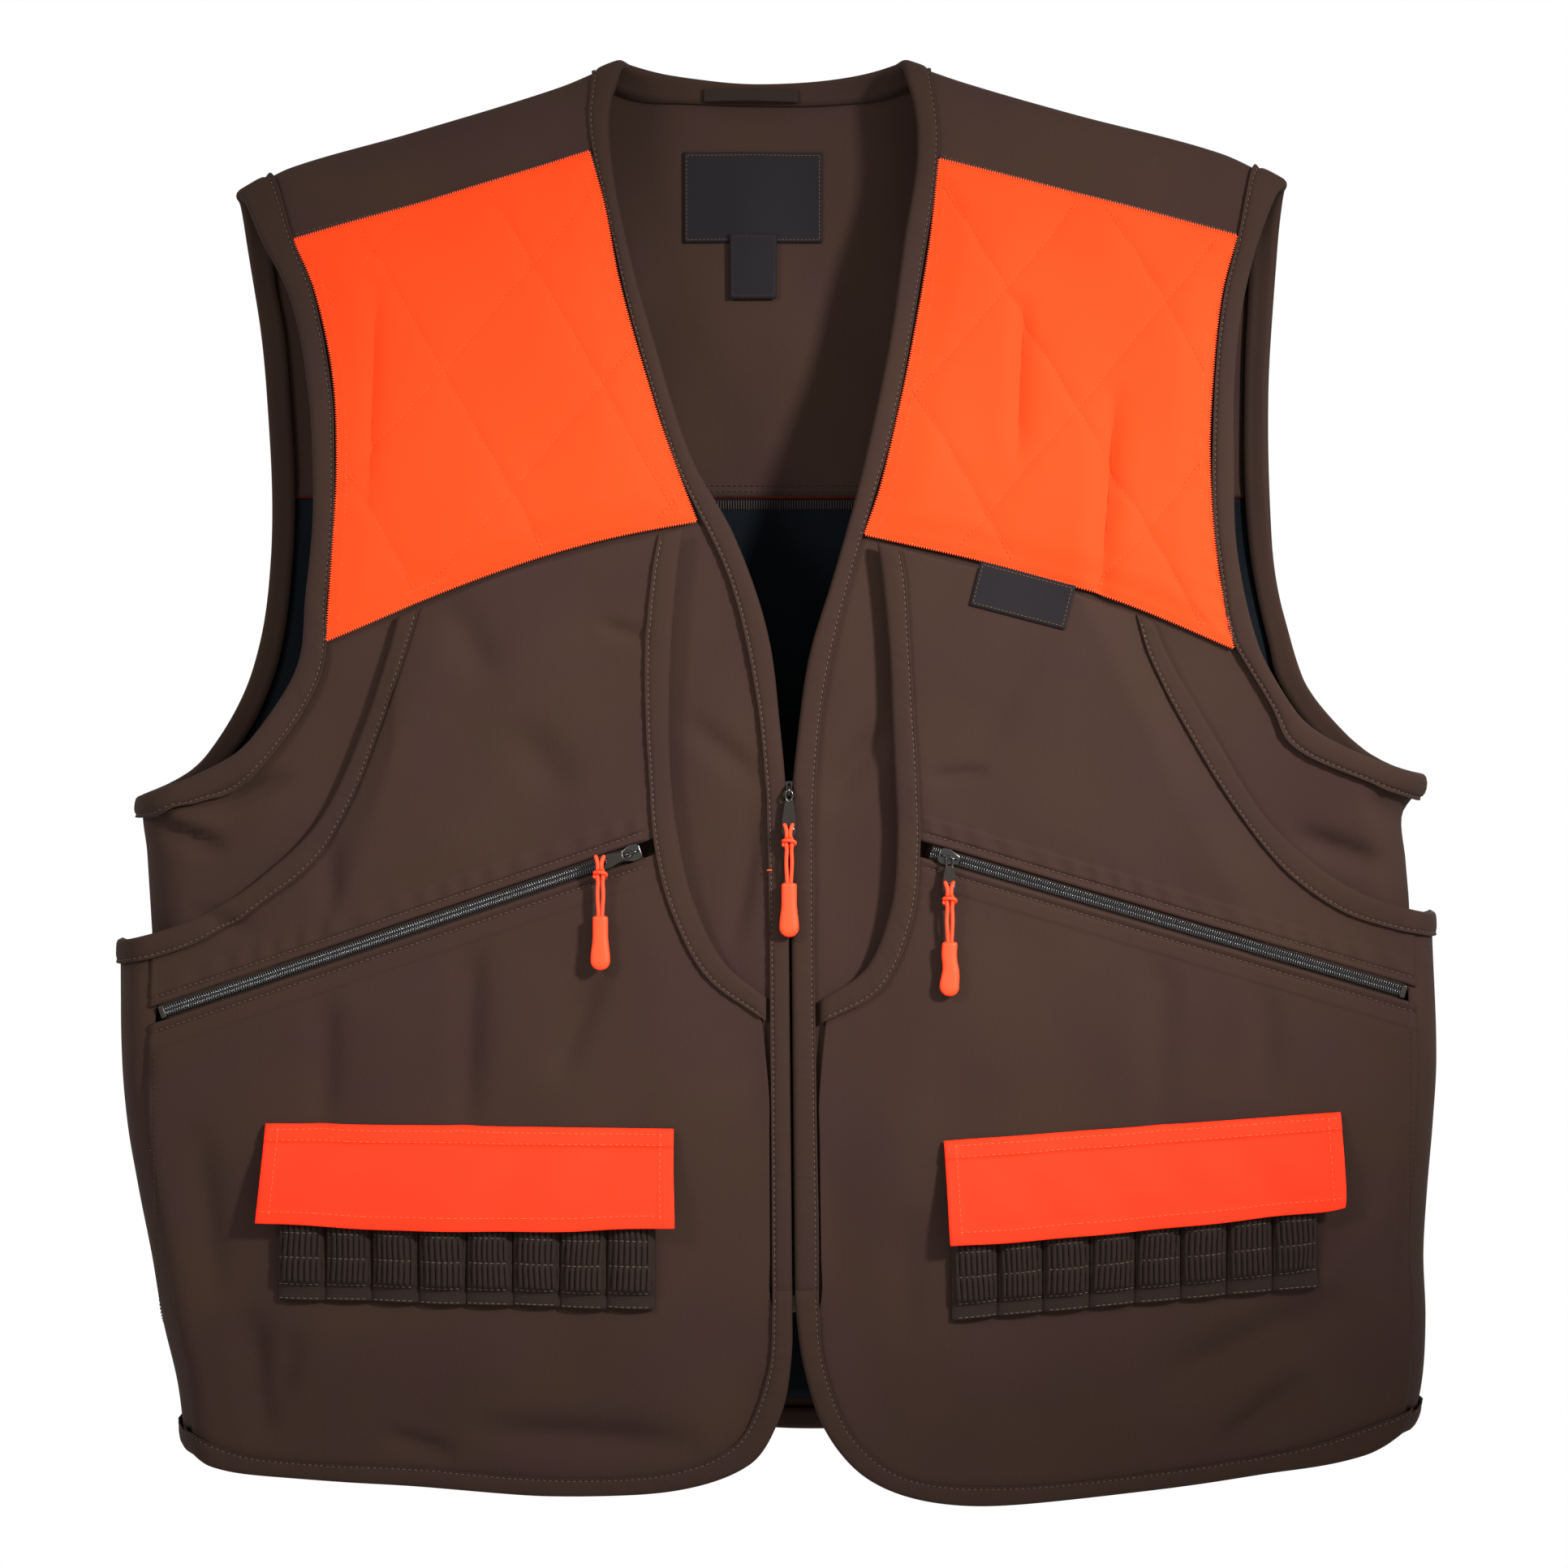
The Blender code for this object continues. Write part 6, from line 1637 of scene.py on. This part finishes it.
def make_pocket_zip(side_name, side):
    """A slanted pocket zip with its stop, slider, tab and pull."""
    inner, outer, outward = zip_line(side)
    along = outer - inner
    length = along.length
    lie = frame_at((inner + outer) / 2, along, outward)
    half = length / 2
    strip(
        f"pocket_zip_tape_cloth_{side_name}", lie, (-half + 0.001, -TAPE_WIDTH / 2),
        (half - 0.023, TAPE_WIDTH / 2), -TAPE_DEPTH, 0.0005, [f"pocket_zip_tape_{side_name}"],
    )
    for half_name, sign in (("low", -1), ("high", 1)):
        coil(
            f"pocket_zip_coil_{half_name}_{side_name}", lie, -half + 0.003, length - 0.008, sign,
            0.0001, [f"pocket_zip_coil_{side_name}"],
        )
    strip(
        f"pocket_zip_core_{side_name}", lie, (-half + 0.003, -0.0052), (half - 0.004, 0.0052),
        -0.0009, 0.0004, (),
    )
    end = lie @ Matrix.Translation((half - 0.0050, 0, 0.0003))
    solid(
        f"pocket_zip_stop_{side_name}", block(0.0030, 0.0070, 0.0022), "tab_metal", "vest", end,
        bevel=0.0005,
    )

    at_slider = frame_at(inner + along.normalized() * side["slider_at"], along, outward)
    body = f"{side_name}_slider"
    make_slider(
        f"pocket_slider_{side_name}", at_slider @ Matrix.Translation((0, 0, POCKET_SLIDER_LIFT)), 0,
        body, [f"pocket_zip_slider_{side_name}"],
    )
    ring_lift = POCKET_SLIDER_LIFT + SLIDER[2] + CROWN_RADIUS * 0.75
    crown = at_slider @ Vector((0, 0, ring_lift))
    tab_length = 0.0150
    if side_name == "right":
        tab_start = crown + along.normalized() * 0.0046
        tab_frame = frame_at(tab_start + outward * 0.0006, -along.normalized(), outward)
        cord_top = tab_start + along.normalized() * (tab_length - TAB_WIDTH * 0.4)
    else:
        tab_start = crown + DOWN * 0.0050
        tab_frame = frame_at(tab_start + outward * 0.0006, -DOWN, outward)
        cord_top = tab_start + DOWN * (tab_length - TAB_WIDTH * 0.4)
    make_tab(
        f"pocket_tab_{side_name}", tab_frame, tab_length, f"{side_name}_tab",
        [f"pocket_zip_tab_{side_name}"],
    )
    link_ring(f"pocket_tab_link_{side_name}", crown, tab_start, outward, f"{side_name}_tab")
    make_pull(
        f"pocket_{side_name}", frame_at(cord_top + outward * 0.0022 - DOWN * 0.002, -DOWN, outward),
        0.0270, 0.0285, f"{side_name}_pull",
        (f"pocket_zip_cord_{side_name}", f"pocket_zip_grip_{side_name}"),
        0.0005 if side_name == "left" else 0.0,
    )


def link_ring(name, crown, tab_start, outward, body):
    """The wire bail that joins a tab to its slider's crown."""
    way = tab_start - crown
    span = way.length + 0.0012
    bail = frame_at((crown + tab_start) / 2, way, outward)
    points = []
    for i in range(21):
        a = 2 * math.pi * i / 20
        points.append((span / 2 * math.cos(a), 0.0019 * math.sin(a), 0.0004))
    normal = bail.to_3x3() @ Vector((0, 0, 1))
    sweep(name, placed(bail, points), 0.0006, "gunmetal", body, (), sides=8, reference=normal)


def make_centre_zip():
    """The separating zip behind the two front edges, with the box at its foot."""
    top = Vector(PLAIN_BODY.point(*PLAIN_BODY.front(*CENTRE_ZIP_TOP)))
    bottom = Vector(PLAIN_BODY.point(*PLAIN_BODY.front(*CENTRE_ZIP_BOTTOM)))
    outward = Vector((0, -1, 0))
    along = bottom - top
    length = along.length
    lie = frame_at((top + bottom) / 2, along, outward)
    for side_name, sign in (("right", -1), ("left", 1)):
        near, far = sign * 0.0004, sign * 0.0134
        strip(
            f"front_zip_tape_cloth_{side_name}", lie, (-length / 2, min(near, far)),
            (length / 2 + 0.006, max(near, far)), -0.0078, 0.0005, [f"front_zip_tape_{side_name}"],
        )
        coil(
            f"front_zip_coil_turns_{side_name}", lie, -length / 2 + 0.002, length - 0.006, sign,
            -0.0062, [f"front_zip_coil_{side_name}"],
        )
    foot = lie @ Matrix.Translation((length / 2 + 0.0075, 0, -0.0051))
    solid(
        "front_zip_box_cast", block(0.009, 0.010, 0.0040), "tab_metal", "vest", foot,
        ["front_zip_box"], bevel=0.0008, segments=3,
    )
    at_slider = frame_at(top, along, outward)
    make_slider(
        "front_slider_cast", at_slider @ Matrix.Translation((0, 0, FRONT_SLIDER_LIFT)),
        FRONT_SLIDER_NECK, "front_slider", ["front_zip_slider"],
    )
    ring_lift = FRONT_SLIDER_LIFT + SLIDER[2] + FRONT_SLIDER_NECK + CROWN_RADIUS * 0.75
    crown = at_slider @ Vector((0, 0, ring_lift))
    tab_length = 0.0200
    tab_start = crown + DOWN * 0.0048
    make_tab(
        "front_tab_plate", frame_at(tab_start, -DOWN, outward), tab_length, "front_tab",
        ["front_zip_tab"],
    )
    link_ring("front_tab_link", crown, tab_start, outward, "front_tab")
    cord_top = tab_start + DOWN * (tab_length - TAB_WIDTH * 0.45) + outward * 0.0020
    make_pull(
        "front", frame_at(cord_top - DOWN * 0.002, -DOWN, outward), 0.0265, 0.0285, "front_pull",
        ("front_zip_cord", "front_zip_grip"),
    )


# ---------------------------------------------------------------- shell holders and labels


LOOP_COLUMNS, LOOP_ROWS = 56, 60  # cells across one loop, and up it
FLAP_COLUMNS, FLAP_ROWS = 130, 56
TUCK_ROWS = (0.155, 0.40, 0.63)  # heights of the rows of stitches that hold the loops' pleats


def make_shell_holder(side_name, side):
    """The gathered elastic with its loops, and the flap that covers their tops."""
    (xa, za), (xb, zb) = side["loops"]
    height = side["loops_height"]
    steps = rng.uniform(-0.0005, 0.0005, LOOP_COUNT + 1)
    u, w = lattice(LOOP_COUNT * LOOP_COLUMNS, LOOP_ROWS)
    loop = np.minimum((u * LOOP_COUNT).astype(int), LOOP_COUNT - 1)
    within = u * LOOP_COUNT - loop
    x = xa + (xb - xa) * u
    z = za + (zb - za) * u + height * w + steps[loop] * 0.6 * (1 - w)
    arch = np.abs(np.sin(math.pi * LOOP_COUNT * u)) ** 0.5
    open_part = ramp(w, 0.12, 0.19)
    pleat = np.abs(np.sin(math.pi * (within * 8.5 + 0.15 * np.sin(7 * w + loop)))) ** 0.6
    tucked = 1 - 0.75 * sum(np.exp(-(((w - row) / 0.022) ** 2)) for row in TUCK_ROWS)
    rise = 0.0018 + (LOOP_RISE - 0.0008) * arch * (0.42 + 0.58 * open_part)
    loose = np.clip(tucked, 0.15, 1) * open_part * np.minimum(arch * 1.6, 1)
    rise += 0.0027 * (pleat - 0.5) * loose
    rise += 0.00030 * np.sin(2 * math.pi * w * height / 0.0019) * (1 - open_part)
    place = BAG.front(x, z)
    points = BAG.lifted(place, rise)
    elastic = grid_piece(
        f"shell_elastic_{side_name}", points, (x, z), "elastic", 0.0008, "vest",
        [f"shell_loops_{side_name}"],
    )
    declare_sheet(points)
    columns = np.arange(4, LOOP_COUNT * LOOP_COLUMNS - 3, 7)
    in_loop = columns % LOOP_COLUMNS
    columns = columns[(in_loop > 3) & (in_loop < LOOP_COLUMNS - 3)]
    for share in (0.02, *TUCK_ROWS):
        row = int(round(share * LOOP_ROWS))
        centres = points[columns, row] + np.array([0, -0.0007, 0])
        ahead = points[columns + 1, row] - points[columns - 1, row]
        outward = np.cross(points[columns, row + 1] - points[columns, row], ahead)
        outward *= -np.sign(outward[:, 1:2])
        dashes(centres, ahead, outward, 0.0024, 0.00034, "elastic_thread")

    outer_top, inner_top, inner_low, outer_low = [np.array(p) for p in side["flap"]]
    bow = side["flap_bow"]
    u, w = lattice(FLAP_COLUMNS, FLAP_ROWS)
    top_row = outer_top + (inner_top - outer_top) * u[..., None]
    low_row = outer_low + (inner_low - outer_low) * u[..., None]
    spot = top_row + (low_row - top_row) * w[..., None]
    x, z = spot[..., 0], spot[..., 1] - bow * np.sin(math.pi * u) * w
    rise = 0.0016 + FLAP_RISE * np.sin(w * math.pi / 2) ** 1.2
    from_side, from_top, from_foot = np.minimum(u, 1 - u) * 0.215, w * 0.052, (1 - w) * 0.052
    rise += 0.0013 * (1 - ramp(from_top, 0.0085, 0.0098)) * ramp(from_top, 0.0004, 0.0016)
    rise += 0.0005 * (1 - ramp(from_foot, 0.0068, 0.0078))
    rise += 0.0004 * (1 - ramp(from_side, 0.0068, 0.0078))
    soft = 0.0007 * np.sin(2 * math.pi * (u * 2.1 + 0.2 * w))
    soft += 0.0004 * np.sin(2 * math.pi * (u * 5.3 + w))
    points = BAG.lifted(BAG.front(x, z), rise + np.sin(math.pi * w) * soft)
    flap = grid_piece(
        f"shell_flap_cloth_{side_name}", points, (x, z), "orange_cloth", CLOTH,
        f"{side_name}_flap", [f"shell_flap_{side_name}"],
    )
    declare_sheet(points)
    columns = np.arange(2, FLAP_COLUMNS - 2)
    for share in (0.045, 0.165, 0.875):
        row = int(round(share * FLAP_ROWS))
        stitch_row(points[columns, row], points[columns + 1, row], side_name)
    rows = np.arange(3, FLAP_ROWS - 3)
    for column in (4, FLAP_COLUMNS - 4):
        stitch_row(points[column, rows], points[column, rows + 1], side_name)


def stitch_row(line, ahead, side_name):
    """Stitches on a flap, along a row of its grid."""
    marks = even(line, 0.0031)
    index = np.clip((marks * (len(line) - 1)).astype(int), 0, len(line) - 1)
    centres = line[index] + np.array([0, -0.00065, 0])
    along = ahead[index] - line[index]
    outward = np.broadcast_to(np.array([0.0, -1.0, 0.0]), centres.shape).copy()
    dashes(centres, along, outward, 0.0023, 0.00022, "pale_thread", f"{side_name}_flap")


LABEL_INSET = 0.0016


def label(node, form, place, size, lift, border):
    """A blank woven label with a plain sewn border."""
    cells = [max(int(extent / 0.0016), 4) for extent in size]
    panel(f"{node}_woven", form, place, cells, lift, "label", [node], 0.0005, "stretched")
    height = lift + math.copysign(0.0004, lift)
    u_in, w_in = LABEL_INSET / size[0], LABEL_INSET / size[1]
    for fixed, low, high, vertical in (
        (w_in, u_in, 1 - u_in, False), (1 - w_in, u_in, 1 - u_in, False),
        (u_in, w_in, 1 - w_in, True), (1 - u_in, w_in, 1 - w_in, True),
    ):
        def line(t, fixed=fixed, low=low, high=high, vertical=vertical):
            run = low + (high - low) * np.asarray(t, float)
            still = np.full_like(run, fixed)
            return place(still, run) if vertical else place(run, still)

        sew(form, line, height, pitch=0.0021, dash=0.0015, radius=0.00018, thread=border)


def make_labels():
    """The neck label, the size tab under it, the chest label and the hang loop."""

    def flat_place(corner, size):
        return lambda u, w: BODY.back(corner[0] + size[0] * u, corner[1] + size[1] * w)

    for name, corner, size, lift, border in (
        ("neck_label", (-0.0365, -0.0785), (0.0755, 0.0485), -0.0015, "gold_thread"),
        ("size_tab", (-0.0115, -0.1090), (0.0255, 0.0350), -0.0030, "dark_thread"),
    ):
        label(name, BODY, flat_place(corner, size), size, lift, border)

    chest_size = (0.052, 0.024)

    def chest_place(u, w):
        slant = math.radians(-14.5)
        across, up = (u - 0.5) * chest_size[0], (w - 0.5) * chest_size[1]
        x = 0.1440 + across * math.cos(slant) - up * math.sin(slant)
        z = -0.2735 + across * math.sin(slant) + up * math.cos(slant)
        return BAG.front(x, z)

    label("chest_label", BAG, chest_place, chest_size, 0.0013, "gold_thread")

    u, w = lattice(60, 6)
    bow = -0.0036 - 0.0040 * np.sin(math.pi * u) ** 0.7
    x, z = HANG_LOOP_SPAN * (u - 0.5), -0.0035 + 0.0070 * w
    points = BODY.lifted(BODY.back(x, z), bow)
    grid_piece("hang_loop_tape", points, (x, z), "tape", 0.0010, "vest", ["hang_loop"])
    for x in (-0.0245, -0.0225, 0.0225, 0.0245):
        line = on(BODY.back, [(x, -0.0030), (x, 0.0), (x, 0.0030)])
        sew(BODY, line, -0.0046, pitch=0.0012, dash=0.0014, radius=0.0003, thread="dark_thread",
            across=True)


# ---------------------------------------------------------------- light and camera

WORLD_STRENGTH = 1.0
SPOTS = [  # name, place, target, radius, beam in degrees, power
    ("key", (1.25, -1.45, 0.35), (0.03, 0, -0.36), 0.12, 28, 400),
    ("fill", (-1.25, -1.55, 0.50), (0.0, 0, -0.36), 0.30, 28, 130),
    ("back", (0.4, 1.9, 0.8), (0.0, 0, -0.35), 0.50, 60, 120),
]
CAMERA_PLACE = (0.0181, -2.46, -0.3729)
CAMERA_LENS = 104
FLOOR_Z = -1.25


def make_stage():
    """A pale floor, white surroundings, three lamps and the camera."""
    mesh = bpy.data.meshes.new("floor")
    shape = bmesh.new()
    bmesh.ops.create_circle(shape, cap_ends=True, segments=96, radius=2.5)
    shape.to_mesh(mesh)
    shape.free()
    floor = shown("floor", mesh)
    floor.location.z = FLOOR_Z
    pale, tree, shader = nodes_of("pale_floor")
    feed(tree, shader, {"Base Color": (0.9, 0.9, 0.9, 1), "Roughness": 0.9})
    mesh.materials.append(pale)

    world = bpy.data.worlds.new("studio")
    world.use_nodes = True
    surroundings = world.node_tree.nodes["Background"]
    feed(world.node_tree, surroundings, {"Color": (1, 1, 1, 1), "Strength": WORLD_STRENGTH})
    bpy.context.scene.world = world
    for name, place, target, radius, beam, power in SPOTS:
        data = bpy.data.lights.new(name, "SPOT")
        data.shadow_soft_size = radius
        data.spot_size = math.radians(beam)
        data.spot_blend = 1.0
        data.energy = power
        lamp = shown(name, data)
        lamp.location = place
        lamp.rotation_euler = (Vector(target) - Vector(place)).to_track_quat("-Z", "Y").to_euler()

    lens = bpy.data.cameras.new("camera")
    lens.lens = CAMERA_LENS
    camera = shown("camera", lens)
    camera.location = CAMERA_PLACE
    camera.rotation_euler = (math.pi / 2, 0, 0)
    bpy.context.scene.camera = camera
    bpy.context.scene.view_settings.view_transform = "Standard"


def make_loose_thread():
    """A red thread end beside the front zip."""
    place = BODY.lifted(BODY.front(0.0104, -0.4185), 0.0042)[None]
    along, outward = np.array([[1.0, 0, 0.1]]), np.array([[0, -1.0, 0]])
    dashes(place, along, outward, 0.0030, 0.0004, "orange_thread")


for side_name, side in SIDES.items():
    make_body(side_name, side)
    make_pockets(side_name, side)
    make_pocket_zip(side_name, side)
    make_shell_holder(side_name, side)
make_back()
make_game_bag()
make_centre_zip()
make_labels()
make_loose_thread()
make_threads()
make_stage()
